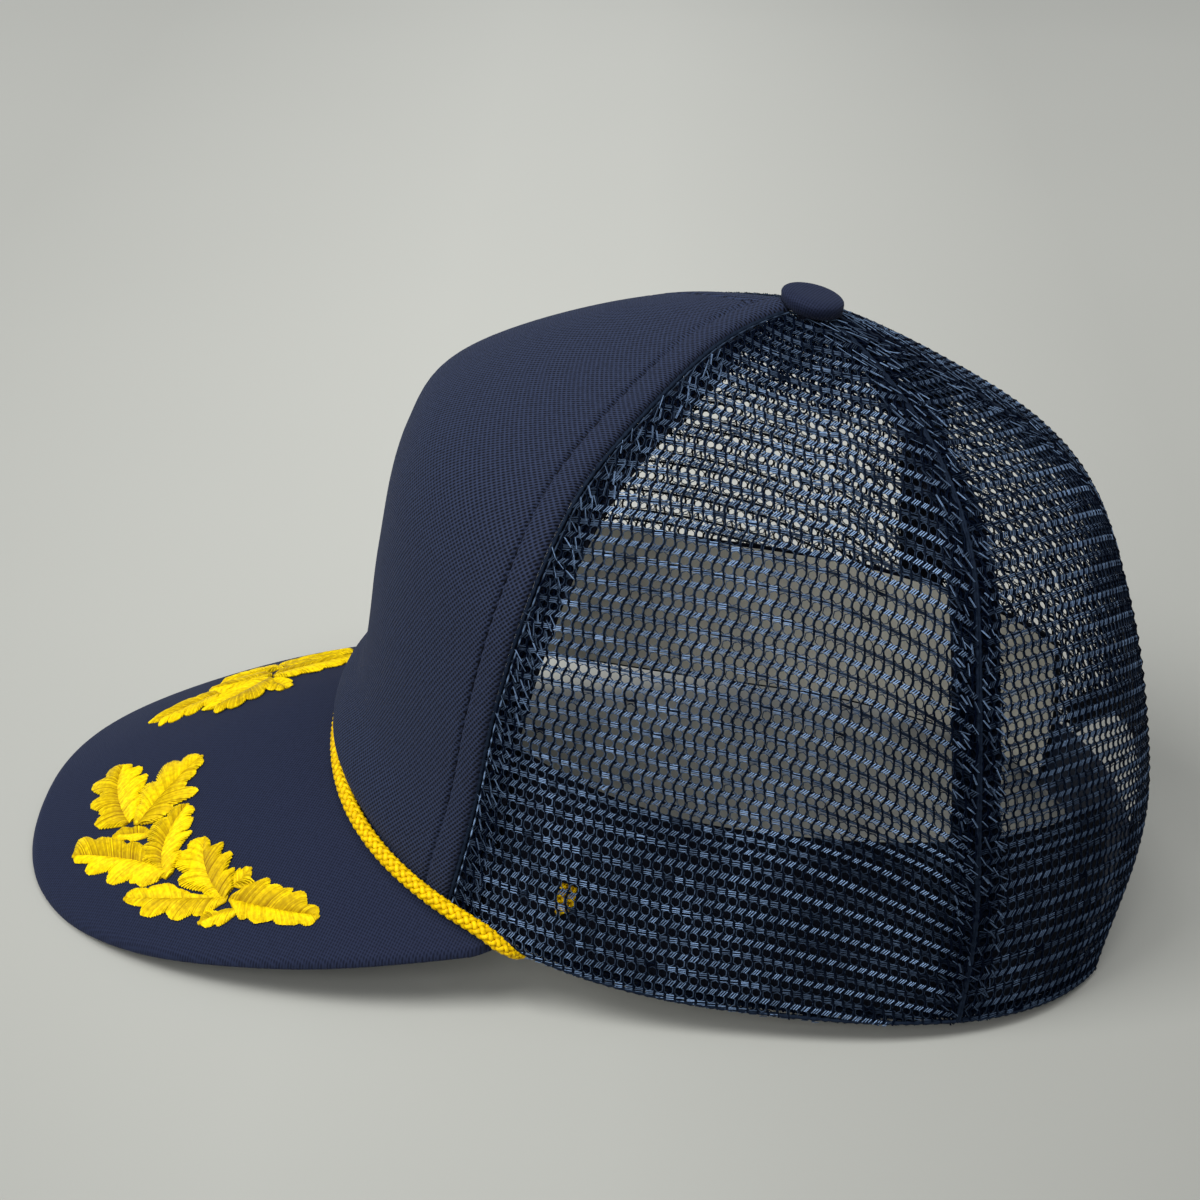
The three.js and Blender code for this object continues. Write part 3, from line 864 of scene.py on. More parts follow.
class ClothMap:
    """Lays a flat panel on the crown: u runs round each ring from the panel's middle line, v up that line.

    Its rows are bowed by so much for each square millimetre aside, and less low down. They lie wider apart
    over the sweatband, whose height is given.
    """

    bow = 0.0046
    slack = 0.22
    band_height = 45.0

    def __init__(
        self, middle: Callable[[Array], Array], grain: float, reach: float = 78.0, half_width: float = 74.0
    ) -> None:
        """Measures the crown for a panel.

        Args:
            middle: The angle of the panel's middle line at each t.
            grain: Where, in millimetres from the middle line, its rows are level.
            reach: How many degrees to measure to each side.
            half_width: How many millimetres to map to each side.
        """
        self.grain = grain
        self.t = np.linspace(-0.03, 0.985, 260)
        self.middle = middle(self.t)
        self.v = run_length(CROWN.point(self.t, self.middle))
        self.v -= np.interp(0.0, self.t, self.v)
        self.v -= self.slack * np.clip(self.v, 0, self.band_height)
        turn = np.linspace(-reach, reach, 241)
        arcs = run_length(CROWN.point(self.t[:, None], self.middle[:, None] + turn))
        arcs -= arcs[:, [len(turn) // 2]]
        self.u = np.linspace(-half_width, half_width, 297)
        self.turns = np.array([np.interp(self.u, arc, turn) for arc in arcs])

    def lay(self, u: Array, v: Array) -> tuple[Array, Array]:
        """Finds the t and the angle of flat points."""
        bow = self.bow * np.interp(v, [0.0, self.band_height * 1.4], [0.2, 1.0])
        t = np.interp(v - bow * (u - self.grain) ** 2, self.v, self.t)
        row = np.clip((t - self.t[0]) / (self.t[1] - self.t[0]), 0, len(self.t) - 1.001)
        column = np.clip((u - self.u[0]) / (self.u[1] - self.u[0]), 0, len(self.u) - 1.001)
        i, j = row.astype(int), column.astype(int)
        f, g = row - i, column - j
        low = self.turns[i, j] * (1 - g) + self.turns[i, j + 1] * g
        high = self.turns[i + 1, j] * (1 - g) + self.turns[i + 1, j + 1] * g
        return t, np.interp(t, self.t, self.middle) + low * (1 - f) + high * f

    def height(self, t: float) -> float:
        """The v of a t."""
        return float(np.interp(t, self.t, self.v))


@dataclass(frozen=True)
class NetPattern:
    """A knitted net: zigzag wales, a loop round each hole, and fine laps between the rows of holes.

    All its yarns are one yarn in lit and shaded tones: the wales and the cords between the rows painted dark
    as shade, the laps painted bright as highlights.
    Each fade gives two places across the panel, and how bright its yarns are at each: painted light that
    changes across the panel.
    """

    pitch: float = 2.5
    row: float = 3.3
    shift: float = 0.19
    jitter: float = 0.07
    tone_scatter: float = 0.07
    hole_width: float = 2.014
    hole_height: float = 2.1412
    loop_radius: float = 0.17
    loop_depth: float = 0.42
    loop_sway: float = 0.12
    loop_tone: float = 0.14
    loop_fade: tuple = ((5.0, 25.0), (1.0, 0.5))
    loop_steps: int = 6
    wale_radius: float = 0.32
    wale_depth: float = 0.36
    wale_sway: float = 0.26
    wale_tone: float = 0.01
    wale_steps: int = 2
    band_radius: float = 0.4
    band_depth: float = 0.85
    band_tone: float = 0.05
    lap_radius: float = 0.145
    lap_depth: float = 0.2
    lap_scatter: float = 0.03
    level_radius: float = 0.116
    level_reach: float = 0.9
    level_gap: float = 0.42
    level_slope: float = 0.12
    level_tone: float = 0.55
    level_fade: tuple = ((8.0, 24.0), (1.0, 0.3))
    slant_gap: float = 0.6
    slant_across: float = 0.5
    slant_up: float = 0.64
    slant_tone: float = 0.95
    slant_fade: tuple = ((2.0, 22.0), (0.6, 1.0))

    def knit(self, half_width: float, low: float, high: float, seed: int, laps: bool = True) -> Strands:
        """Knits a flat piece of net.

        Args:
            half_width: How far it reaches to each side of u = 0.
            low: Its lowest v.
            high: Its highest v.
            seed: The seed of its small unevenness.
            laps: Whether it has its bright laps, which a folded edge hides.

        Returns:
            Strands whose points are u, v and depth.
        """
        rng = np.random.default_rng(seed)
        across = math.ceil(half_width / self.pitch)
        columns = np.arange(-across, across + 1)
        rows = np.arange(math.floor(low / self.row), math.ceil(high / self.row) + 1)
        strands = Strands()
        i, k = (x.ravel() for x in np.meshgrid(columns, rows, indexing="ij"))
        side = np.where(k % 2 == 0, 1.0, -1.0)
        hole_u = (i + side * self.shift) * self.pitch + rng.normal(0, self.jitter, len(i))
        hole_v = k * self.row + rng.normal(0, self.jitter, len(i))
        tone = rng.normal(0.0, self.tone_scatter, len(i))[:, None]
        turn = (np.arange(self.loop_steps) + 0.5) * 2 * math.pi / self.loop_steps
        u = hole_u[:, None] + (self.hole_width / 2 + self.loop_radius) * np.cos(turn)
        v = hole_v[:, None] + (self.hole_height / 2 + self.loop_radius) * np.sin(turn)
        depth = self.loop_depth + self.loop_sway * np.cos(2 * turn)
        # The loops are painted lighter at their tops and bottoms, and dimmer across the panel by loop_fade:
        # painted light.
        bright = self.loop_tone * (1 + np.sin(turn) ** 2) + 0.6 * tone
        bright = bright * np.interp(hole_u, *self.loop_fade)[:, None]
        strands.add(np.stack(np.broadcast_arrays(u, v, depth), -1), self.loop_radius, bright, closed=True)
        self._add_wales(strands, columns, rows)
        if laps:
            self._add_laps(strands, i, k, tone, rng)
        return strands

    def _add_wales(self, strands: Strands, columns: Array, rows: Array) -> None:
        """Adds the yarns painted dark as shade: zigzags that run up between the holes, and cords between the
        rows.
        """
        steps = np.arange(rows[0] * self.wale_steps, rows[-1] * self.wale_steps + 1)
        v = steps * (self.row / self.wale_steps)
        sway = self.shift * self.pitch * np.cos(math.pi * v / self.row)
        u = (columns[:, None] + 0.5) * self.pitch + sway
        depth = self.wale_depth + self.wale_sway * np.cos(2 * math.pi * v / self.row)
        strands.add(np.stack(np.broadcast_arrays(u, v, depth), -1), self.wale_radius, self.wale_tone)
        u, v = np.meshgrid(columns * self.pitch, (rows + 0.5) * self.row)
        line = np.stack(np.broadcast_arrays(u, v, self.band_depth), -1)
        strands.add(line, self.band_radius, self.band_tone)

    def _add_laps(self, strands: Strands, i: Array, k: Array, tone: Array, rng: np.random.Generator) -> None:
        """Adds the fine filaments between the rows, painted bright as highlights: level above even rows,
        slanting above odd rows.
        """
        level = k % 2 == 0
        ends = np.array([[-1.0, 1.0]])
        u, v = (i * self.pitch)[:, None], ((k + 0.5) * self.row)[:, None]
        reach = ends * self.level_reach
        # The laps' painted highlights fade across the panel by level_fade and slant_fade.
        bright = (self.level_tone + tone * 3) * np.interp(u, *self.level_fade)
        for offset in (-self.level_gap, 0.0, self.level_gap):
            lean = rng.normal(0, 0.08, (level.sum(), 1))
            place = u[level] + reach, v[level] + offset + lean + reach * self.level_slope
            self._add_lap(strands, place, self.level_radius, bright[level], rng)
        slant = ~level
        bright = (self.slant_tone + tone * 2.5) * np.interp(u, *self.slant_fade)
        for offset in (-self.slant_gap, 0.0, self.slant_gap):
            lean = rng.normal(0, 0.06, (slant.sum(), 1))
            place = u[slant] + offset + lean + ends * self.slant_across, v[slant] + ends * self.slant_up
            self._add_lap(strands, place, self.lap_radius, bright[slant], rng)

    def _add_lap(
        self,
        strands: Strands,
        place: tuple[Array, Array],
        radius: float,
        bright: Array,
        rng: np.random.Generator,
    ) -> None:
        """Adds one filament for each row of a place's u and v, at uneven depths."""
        depth = self.lap_depth + rng.normal(0, self.lap_scatter, (len(place[0]), 1))
        strands.add(np.stack(np.broadcast_arrays(*place, depth), -1), radius, bright)


@dataclass
class NetPanels:
    """The four net panels, each with its folded seam edges, its hem and the cords of its edges.

    Each hem cord gives its t and depth. An edge cord gives its inset, its depth and the brightness of the
    highlight painted on its stitches.
    """

    shop: Workshop
    pattern: NetPattern = field(default_factory=NetPattern)
    reach: float = 72.0
    top: float = 0.975
    seam_margin: float = 0.2
    front_gap: float = 1.1
    front_fold: float = 7.5
    side_fold: float = 6.5
    hem_fold: float = 5.0
    top_fold: float = 0.86
    fold_depth: float = 0.6
    # fold_tone paints the folded layer near black, as shade between the layers.
    fold_tone: float = 0.06
    # These dim the yarns' tone as painted shade: on the back panels, low down behind the sides, by the seams
    # and near the top.
    back_share: float = 0.6
    back_shade: float = 0.5
    seam_shade: float = 0.85
    top_shade: float = 0.6
    patches: float = 0.3
    gather_from: float = 0.905
    edge_roll: float = 1.2
    arch_half_width: float = 45.0
    arch_height: float = 42.0
    cord_radius: float = 0.56
    cord_step: float = 0.95
    # cord_tone paints the plump edge cords near black, as shade along the seams and hem.
    cord_tone: float = 0.03
    hem_cords: tuple = ((0.007, 0.55), (0.013, 1.7))
    edge_cord: tuple = (0.35, 0.9, 0.0)
    front_cords: tuple = ((0.45, 0.9, 0.0), (1.7, 0.3, 0.75))
    float_radius: float = 0.1
    float_pitch: float = 2.5
    float_spacing: float = 1.6
    float_share: float = 0.68
    float_reach: float = 1.4
    float_lean: float = -0.7
    float_depth: float = 0.1
    float_twin: float = 0.13

    def build(self) -> None:
        """Builds all four panels."""
        side = ClothMap(lambda t: (CROWN.seam("front", t) + CROWN.seam("side", t)) / 2, grain=-14.0)
        back = ClothMap(lambda t: (CROWN.seam("side", t) + 180) / 2, grain=-25.0)
        for hand in Side:
            self._panel(side, hand, f"side_panel_{hand.word}", 11 + hand.value, self._side_limits)
            self._panel(back, hand, f"back_panel_{hand.word}", 31 + hand.value, self._back_limits)

    def _side_limits(self, t: Array, angle: Array) -> tuple[Array, Array, Array]:
        """How far inside its two seams and its hem a side panel's points lie, in millimetres."""
        per = CROWN.per_degree(t, angle)
        front = (angle - CROWN.seam("front", t)) * per
        back = (CROWN.seam("side", t) - angle) * per
        return front, back, np.full(t.shape, 99.0)

    def _back_limits(self, t: Array, angle: Array) -> tuple[Array, Array, Array]:
        """How far inside its two seams and its arch a back panel's points lie, in millimetres."""
        per = CROWN.per_degree(t, angle)
        front = (angle - CROWN.seam("side", t)) * per
        back = (180 - angle) * per
        point = CROWN.bare(t, angle)
        oval = np.hypot(point[..., 0] / self.arch_half_width, point[..., 2] / self.arch_height)
        return front, back, (oval - 1) * (self.arch_half_width + self.arch_height) / 2

    def _panel(self, cloth: ClothMap, hand: Side, node: str, seed: int, limits: Callable) -> None:
        """Builds one panel.

        Args:
            cloth: Where its flat cloth lies on the crown.
            hand: Its side.
            node: The solid that it stands for.
            seed: The seed of its unevenness.
            limits: How far inside its edges its points lie.
        """
        high = cloth.height(self.top)
        fold_from = (self.front_fold if node.startswith("side") else self.side_fold, self.side_fold)

        def place(points: Array, depth: float, lowest: float | None) -> tuple[Array, Array, Array]:
            """Lays flat points on the crown and keeps those of one layer: a fold's above its lowest t."""
            t, angle = cloth.lay(points[:, 0], points[:, 1])
            front, back, hem = limits(t, angle)
            edge = np.minimum(np.minimum(front, back), hem)
            kept = (edge > self.seam_margin) & (t > 0.002) & (t < self.top)
            near = (front < fold_from[0]) | (back < fold_from[1]) | (hem < self.hem_fold)
            near |= (t < self.hem_fold / 171) | (t > self.top_fold)
            if lowest is not None:
                kept &= near & (t > lowest)
            roll = 0.9 * np.clip(1 - edge / self.edge_roll, 0, 1) ** 2
            laid = CROWN.point(t, angle, points[:, 2] + depth + roll)
            kept &= front > (self.front_gap if node.startswith("side") else 0)
            # Painted shade: the yarns darken by the seams, near the top, on the back panels and low down
            # behind the sides.
            by_seam = np.clip(1.3 - np.minimum(front / fold_from[0], back / fold_from[1]), 0, 1)
            share = self.back_share if node.startswith("back") else 1.0
            share = share * (1 - self.seam_shade * np.sqrt(by_seam))
            share = share * (1 - self.top_shade * np.clip((t - self.top_fold + 0.02) / 0.1, 0, 1))
            behind = np.clip((angle - 96) / 40, 0, 1) * np.clip(1.6 - 2.4 * t, 0, 1)
            share = share * (1 - self.back_shade * behind)
            u, v = points[:, 0], points[:, 1]
            patches = np.sin(0.13 * u + 0.05 * v + 1) * np.sin(0.11 * v - 0.03 * u)
            return laid * (hand.value, 1, 1), kept, share * (1 + self.patches * patches)

        face = self.pattern.knit(self.reach, -1.0, high + 22, seed)
        fold = self.pattern.knit(self.reach, -1.0, high + 22, seed + 100, laps=False)
        shift = np.array([self.pattern.pitch * 0.4, self.pattern.row * 0.37, 0])
        fold.points = [p + shift for p in fold.points]
        # The folded layer is painted near black, as shade between the layers.
        fold.tone = [x * self.fold_tone for x in fold.tone]
        layers = []
        for word, strands, depth, lowest in (
            ("face", face, 0.0, None),
            ("fold", fold, self.fold_depth, 0.0),
            ("gather", face, 2 * self.fold_depth, self.gather_from),
        ):
            item = strands.make(f"{node}_{word}", lambda p, d=depth, low=lowest: place(p, d, low))
            layers.append(self.shop.yarn.bake(item, Sides=3, Material=self.shop.finishes.net))
        cords = Strands()
        for points, radius, tone in self._cords(node):
            cords.add((points * (hand.value, 1, 1))[None], radius[None], tone[None])
        item = cords.make(f"{node}_cords")
        layers.append(self.shop.yarn.bake(item, Sides=5, Material=self.shop.finishes.net))
        floats = Strands()
        rng = np.random.default_rng(seed + 500)
        for line in self._floats(node, rng):
            # The floats are painted brighter higher up, as painted light from above.
            height = line[:, 1:2, 2] / 100
            tone = 0.8 * rng.uniform(0.15, 1.0, (len(line), 1)) ** 2 * np.clip(0.2 + 0.8 * height, 0.2, 1)
            floats.add(line * (hand.value, 1, 1), self.float_radius, tone)
        item = floats.make(f"{node}_floats")
        layers.append(self.shop.yarn.bake(item, Sides=3, Material=self.shop.finishes.net))
        net = join(f"net_{node}", layers)
        dress(net, self.shop.finishes.net, "net", node)

    def _floats(self, node: str, rng: np.random.Generator) -> list[Array]:
        """The yarns that lie slanting over a panel's folded seam edges, painted bright as highlights.

        Args:
            node: The panel's solid.
            rng: Gives their unevenness.

        Returns:
            For each edge, its yarns' points.
        """
        side = node.startswith("side")
        first = self.front_fold if side else self.side_fold
        seams = [
            (lambda t: CROWN.seam("front" if side else "side", t), 1, first),
            (lambda t: CROWN.seam("side", t) if side else back_seam(t), -1, self.side_fold),
        ]
        lines = []
        for seam, way, reach in seams:
            lowest = 0.02 if side or way > 0 else 0.3
            rows = np.arange(lowest * 175, (0.88 if side and way > 0 else self.top) * 170, self.float_pitch)
            across = np.arange(2.5 if side and way > 0 else 1.5, reach, self.float_spacing)
            row, inset = (x.ravel() for x in np.meshgrid(rows, across, indexing="ij"))
            chosen = rng.random(len(row)) < self.float_share
            row, inset = row[chosen], inset[chosen]
            row = row + 0.5 * inset + rng.normal(0, 0.4, len(row))
            inset = inset + rng.normal(0, 0.35, len(row))
            step = np.array([-1.0, 1.0])
            lean = (self.float_lean + 0.22 * rng.normal(0, 1, len(row)))[:, None]
            t = np.clip((row[:, None] + step * self.float_reach * np.cos(lean)) / 171, 0.005, self.top)
            place = np.maximum(inset[:, None] + way * step * self.float_reach * np.sin(lean), 0.4)
            angle = seam(t) + way * place / CROWN.per_degree(t, seam(t))
            depth = self.float_depth + rng.normal(0, 0.04, (len(row), 1)) + 0 * step
            for shift in (-self.float_twin, self.float_twin):
                turn = angle + shift / CROWN.per_degree(t, angle)
                lines.append(CROWN.point(t, turn, depth))
        return lines

    def _cords(self, node: str) -> list[tuple[Array, Array, Array]]:
        """The rolled yarns along a panel's edges: along each seam, and along the hem or the arch.

        Args:
            node: The panel's solid.

        Returns:
            For each cord, its points, radii and tones.
        """
        side = node.startswith("side")
        t = np.linspace(0.004, self.top, 800)
        front = CROWN.seam("front" if side else "side", t)
        back = CROWN.seam("side", t) if side else back_seam(t)
        lines = []
        places = [(front, 1, cord) for cord in (self.front_cords if side else (self.edge_cord,))]
        places.append((back, -1, self.edge_cord))
        # The highlight painted on the edge cords' stitches fades higher up the crown.
        fade = np.interp(t, [0.25, 0.6], [1.0, 0.15])
        for seam, way, (inset, depth, bright) in places:
            angle = seam + way * inset / CROWN.per_degree(t, seam)
            point = CROWN.bare(t, angle)
            inside = np.hypot(point[:, 0] / self.arch_half_width, point[:, 2] / self.arch_height) < 1.01
            kept = t[~inside] if not side and way < 0 else t
            lines.append((CROWN.point(kept, angle[-len(kept) :], depth), bright * fade if bright else None))
        if side:
            turn = np.linspace(CROWN.seam("front", 0.0) + 0.6, CROWN.seam("side", 0.0) - 0.5, 400)
        else:
            corner = float(CROWN.angle_at(self.arch_half_width, 1.0))
            turn = np.linspace(CROWN.seam("side", 0.0) + 0.5, corner, 200)
            swing = np.linspace(0.03, math.pi / 2 - 0.01, 400)
            x = (self.arch_half_width + 0.5) * np.cos(swing)
            z = (self.arch_height + 0.5) * np.sin(swing)
            angle = CROWN.angle_at(x, z)
            lines.append((CROWN.point(CROWN.ring_at(angle, z), angle, self.hem_cords[0][1]), None))
        lines += [(CROWN.point(low, turn, depth), None) for low, depth in self.hem_cords]
        return [self._cord(points, bright) for points, bright in lines]

    def _cord(self, points: Array, bright: Array | None) -> tuple[Array, Array, Array]:
        """A cord along a line: plump and painted dark as shade, or finer with stitches painted bright as
        highlights, one for each row of the net.
        """
        along = run_length(points)
        place = np.arange(0, along[-1], self.cord_step)
        line = np.stack([np.interp(place, along, column) for column in points.T], -1)
        wave = np.cos(2 * math.pi * place / self.pattern.row)
        if bright is not None:
            tone = np.interp(place, along, bright)
            return line, np.where(wave > 0.1, 0.24, 0.16), np.where(wave > 0.1, tone, 0.05)
        plump = 1 + 0.25 * np.cos(2 * math.pi * place / self.pattern.pitch)
        return line, self.cord_radius * plump, np.full(len(place), self.cord_tone)


# Front, brim and button


@dataclass
class FrontPanel:
    """The foam-backed front: one cloth from seam to seam, rolled under at its seams and topstitched.

    The marks beside a seam say where its columns of points lie, in millimetres from it.
    """

    shop: Workshop
    top: float = 0.98
    proud: float = 0.4
    thickness: float = 2.5
    seam_gap: float = 0.25
    roll: float = 1.8
    puff: float = 0.18
    stitch_inset: float = 6.6
    stitch_pitch: float = 3.5
    stitch_length: float = 2.3
    stitch_width: float = 0.5
    stitch_height: float = 0.42
    groove: float = 0.9
    groove_width: float = 0.45
    pucker: float = 0.16
    pucker_drift: float = 0.1
    pucker_width: float = 1.8
    wander: float = 0.16
    bulge: float = 4.6
    bulge_from: float = 4.5
    bulge_rise: float = 3.0
    bulge_height: float = 15.0
    bulge_half_angle: float = 52.0
    rows: int = 150
    middle_columns: int = 40
    roll_marks: tuple = (0.0, 0.12, 0.35, 0.7, 1.1, 1.6, 2.3, 3.2, 4.2, 5.0)
    groove_marks: tuple = (5.6, 6.1, 6.35, 6.6, 6.85, 7.1, 7.6, 8.3, 9.3, 10.6, 12.0)

    def _surface(self, t: Array, from_left: Array, from_right: Array, angle: Array) -> Array:
        """The depth of the outer face.

        Args:
            t: How far up.
            from_left: Millimetres from the left seam.
            from_right: Millimetres from the right seam.
            angle: Degrees from the front.

        Returns:
            Depths in millimetres.
        """
        edge = np.minimum(from_left, from_right)
        rolled = np.clip(1 - edge / self.roll, 0, 1)
        depth = -self.proud + self.roll * (1 - np.sqrt(1 - rolled**2))
        depth -= self.puff * _bump(edge - self.stitch_inset / 2, self.stitch_inset / 2)
        beside = edge - self.stitch_inset
        depth += self.groove * np.exp(-((beside / self.groove_width) ** 2))
        along = t * 168.0
        pucker = np.exp(-((beside / self.pucker_width) ** 2))
        depth += self.pucker * pucker * np.cos(2 * math.pi * along / self.stitch_pitch)
        depth += self.pucker_drift * pucker * np.sin(along * 0.21 + angle * 0.03)
        depth += self.wander * np.sin(along * 0.05 + 1.3) * np.sin(angle * 0.11)
        above = CROWN.bare(t, angle)[..., 2] - CROWN.bare(0.0, angle)[..., 2] - self.bulge_from
        rise = np.clip(above / self.bulge_rise, 0, 1)
        fall = _bump(np.maximum(above - self.bulge_rise, 0), self.bulge_height)
        return depth - self.bulge * np.sqrt(rise * (2 - rise)) * fall * _bump(angle, self.bulge_half_angle)

    def build(self) -> None:
        """Builds the cloth and its stitches."""
        t = np.linspace(0.0, self.top, self.rows)
        seam = CROWN.seam("front", t)
        half = self._half_width(t, seam)
        near = np.array(self.roll_marks + self.groove_marks)
        share = np.linspace(-1, 1, self.middle_columns)
        span = np.maximum(half[:, None] - near[-1] * np.minimum(half[:, None] / 30, 1), 0.5)
        scale = np.minimum(half / 30, 1)[:, None]
        left = -half[:, None] + near * scale
        right = half[:, None] - near[::-1] * scale
        across = np.concatenate([left[:, :-1], span * share, right[:, 1:]], axis=1)
        angle = self._angle(t, across)
        depth = self._surface(t[:, None], half[:, None] + across, half[:, None] - across, angle)
        outer = CROWN.point(t[:, None], angle, depth)
        thinned = 0.8 * np.clip(1 - (half[:, None] - np.abs(across)) / 1.5, 0, 1)
        inner_depth = self.thickness - self.proud - thinned
        inner = CROWN.point(t[:, None], angle, inner_depth)
        rows, columns = across.shape
        grid = np.arange(rows * columns).reshape(rows, columns)
        loops = np.concatenate([grid, grid[:, ::-1] + rows * columns], axis=1)
        up = run_length(CROWN.bare(t, 0.0))
        flat = np.stack([across, np.broadcast_to(up[:, None], across.shape)], -1).reshape(-1, 2)
        cloth = make_mesh(
            "front_panel_cloth",
            np.concatenate([outer.reshape(-1, 3), inner.reshape(-1, 3)]),
            self._faces(loops, grid, rows * columns),
            np.concatenate([flat, flat]),
        )
        turn_outwards(cloth)
        cloth.data.materials.append(self.shop.finishes.foam_cloth)
        cloth.data.materials.append(self.shop.finishes.foam)
        for face in cloth.data.polygons:
            face.material_index = int(min(face.vertices) >= rows * columns)
        rows_of_stitches = [self._stitches(sign) for sign in (-1, 1)]
        panel = join("front_panel_cloth", [cloth, *rows_of_stitches])
        dress(panel, self.shop.finishes.foam_cloth, "foam_cloth", "front_panel")

    def _faces(self, loops: Array, grid: Array, inner: int) -> list[tuple[int, ...]]:
        """The shell's faces: its walls, and strips that close its lower and upper rims."""
        after = np.roll(loops, -1, axis=1)
        sides = np.stack([loops[:-1], after[:-1], after[1:], loops[1:]], -1).reshape(-1, 4)
        rims = []
        for row, turned in ((grid[0], False), (grid[-1], True)):
            a, b = row[:-1], row[1:]
            strip = np.stack([a, a + inner, b + inner, b], -1)
            rims.append(strip[:, ::-1] if turned else strip)
        return [tuple(f) for f in np.concatenate([sides, *rims])]

    def _half_width(self, t: Array, seam: Array) -> Array:
        """Millimetres from the middle of the front to the seam, less the gap."""
        turn = np.linspace(0, 1, 60)
        ring = CROWN.bare(t[:, None], seam[:, None] * turn)
        return run_length(ring)[:, -1] - self.seam_gap

    def _angle(self, t: Array, across: Array) -> Array:
        """Turns millimetres from the middle of the front into degrees, row by row."""
        turn = np.linspace(0, 70, 141)
        ring = CROWN.bare(t[:, None], turn[None])
        arcs = run_length(ring)
        return np.array([np.sign(x) * np.interp(np.abs(x), arc, turn) for x, arc in zip(across, arcs)])

    def _stitches(self, sign: int) -> Item:
        """One row of topstitches along a seam."""
        t = np.linspace(0.012, 0.955, 160)
        seam = CROWN.seam("front", t)
        half = self._half_width(t, seam)
        across = sign * (half - self.stitch_inset * np.minimum(half / 30, 1))
        angle = self._angle(t, across[:, None])[:, 0]
        points = CROWN.point(t, angle, -self.proud + self.groove - 0.12)
        line = stitch_line("front_stitches", points, CROWN.normal(t, angle))
        return self.shop.stitches.bake(
            line,
            Pitch=self.stitch_pitch * MM,
            Length=self.stitch_length * MM,
            Width=self.stitch_width * MM,
            Height=self.stitch_height * MM,
            Turn=0.08,
            Seed=7,
            Material=self.shop.finishes.stitch,
        )


@dataclass
class Brim:
    """The curved board under cloth, from the crown's foot to its rounded edge."""

    shop: Workshop
    half_width: float = 80.5
    side_y: float = -60.0
    tip_y: float = -179.5
    squareness: float = 2.55
    corner_length: float = 6.0
    corner_width: float = 6.5
    taper: float = 4.3
    taper_from: float = -100.0
    taper_length: float = 45.0
    hem_y: float = -98.0
    hem_z: float = 35.0
    slope: float = 0.234
    sag: float = 24.5
    sag_at: float = 80.0
    bend_at: float = 75.0
    front_bend: float = -11.4
    rear_bend: float = -18.0
    half_thickness: float = 1.5
    end_angle: float = 60.0
    clear: float = 0.7
    columns: int = 168
    rows: int = 34
    edge_steps: int = 9

    def middle(self, x: Array, y: Array) -> Array:
        """The height of the board's middle surface."""
        ahead = y - self.hem_y
        bend = np.where(ahead < 0, self.front_bend, self.rear_bend) * (ahead / self.bend_at) ** 2
        return self.hem_z + self.slope * ahead + bend - self.sag * (x / self.sag_at) ** 2

    def outline(self, share: Array) -> Array:
        """The outline from above, from the right corner at -1 round the tip to the left corner at 1."""
        corner = 0.06
        way = np.abs(share)
        turn = np.clip(way / (1 - corner), 0, 1) * math.pi / 2
        s, c = np.sin(turn), np.cos(turn)
        k = (s**self.squareness + c**self.squareness) ** (-1 / self.squareness)
        x, y = self.half_width * s * k, self.side_y + (self.tip_y - self.side_y) * c * k
        end = np.clip((way - (1 - corner)) / corner, 0, 1) * math.pi / 2
        x = np.where(end > 0, self.half_width - self.corner_width * (1 - np.cos(end)), x)
        y = np.where(end > 0, self.side_y + self.corner_length * np.sin(end), y)
        x = x - self.taper * np.clip((y - self.taper_from) / self.taper_length, 0, 1) ** 2
        return np.stack([np.sign(share) * x, y], -1)

    def root(self, angle: Array, out: float, above: float) -> Array:
        """Where the brim meets the crown.

        Args:
            angle: Degrees from the front.
            out: Millimetres outside the crown.
            above: Millimetres above the board's middle.

        Returns:
            Points in millimetres.
        """
        first = CROWN.point(0.02, angle, -out)
        t = CROWN.ring_at(np.abs(angle), self.middle(first[..., 0], first[..., 1]) + above)
        points = CROWN.point(t, angle, -out)
        points[..., 2] = self.middle(points[..., 0], points[..., 1]) + above
        return points

    def build(self) -> None:
        """Builds the covered board."""
        share = np.linspace(-1, 1, self.columns)
        outer = self.outline(share)
        inner = self.root(share * self.end_angle, self.clear, 0.0)[:, :2]
        way = inner - outer
        length = np.linalg.norm(way, axis=1, keepdims=True)
        away = way / length
        turn = np.linspace(0, math.pi / 2, self.edge_steps)
        inset = 1.9 * (1 - np.sin(turn))
        level = np.linspace(0, 1, self.rows) ** 0.9
        faces_up = [inner - away * (length - 1.9) * s for s in level[:-1]]
        top = [(p, 1.0) for p in faces_up] + [(outer + away * d, math.cos(a)) for d, a in zip(inset, turn)]
        loop = top + [(p, -h) for p, h in top[-2::-1]]
        rings = []
        for place, height in loop:
            z = self.middle(place[:, 0], place[:, 1]) + self.half_thickness * height
            z += self._uneven(place) * np.sign(height)
            rings.append(np.stack([place[:, 0], place[:, 1], z], -1))
        points = np.stack(rings, 1)
        count = points.shape[1]
        grid = np.arange(self.columns * count).reshape(self.columns, count)
        board = make_mesh("brim_cloth", points.reshape(-1, 3), loop_solid(grid), points.reshape(-1, 3)[:, :2])
        turn_outwards(board)
        dress(board, self.shop.finishes.brim_cloth, "foam_cloth", "brim")

    def _uneven(self, place: Array) -> Array:
        """The cloth's slight rise and fall over the board."""
        x, y = place.T
        return 0.1 * np.sin(x * 0.07 + 0.4) * np.sin(y * 0.09) + 0.05 * np.sin(x * 0.19 + y * 0.13)


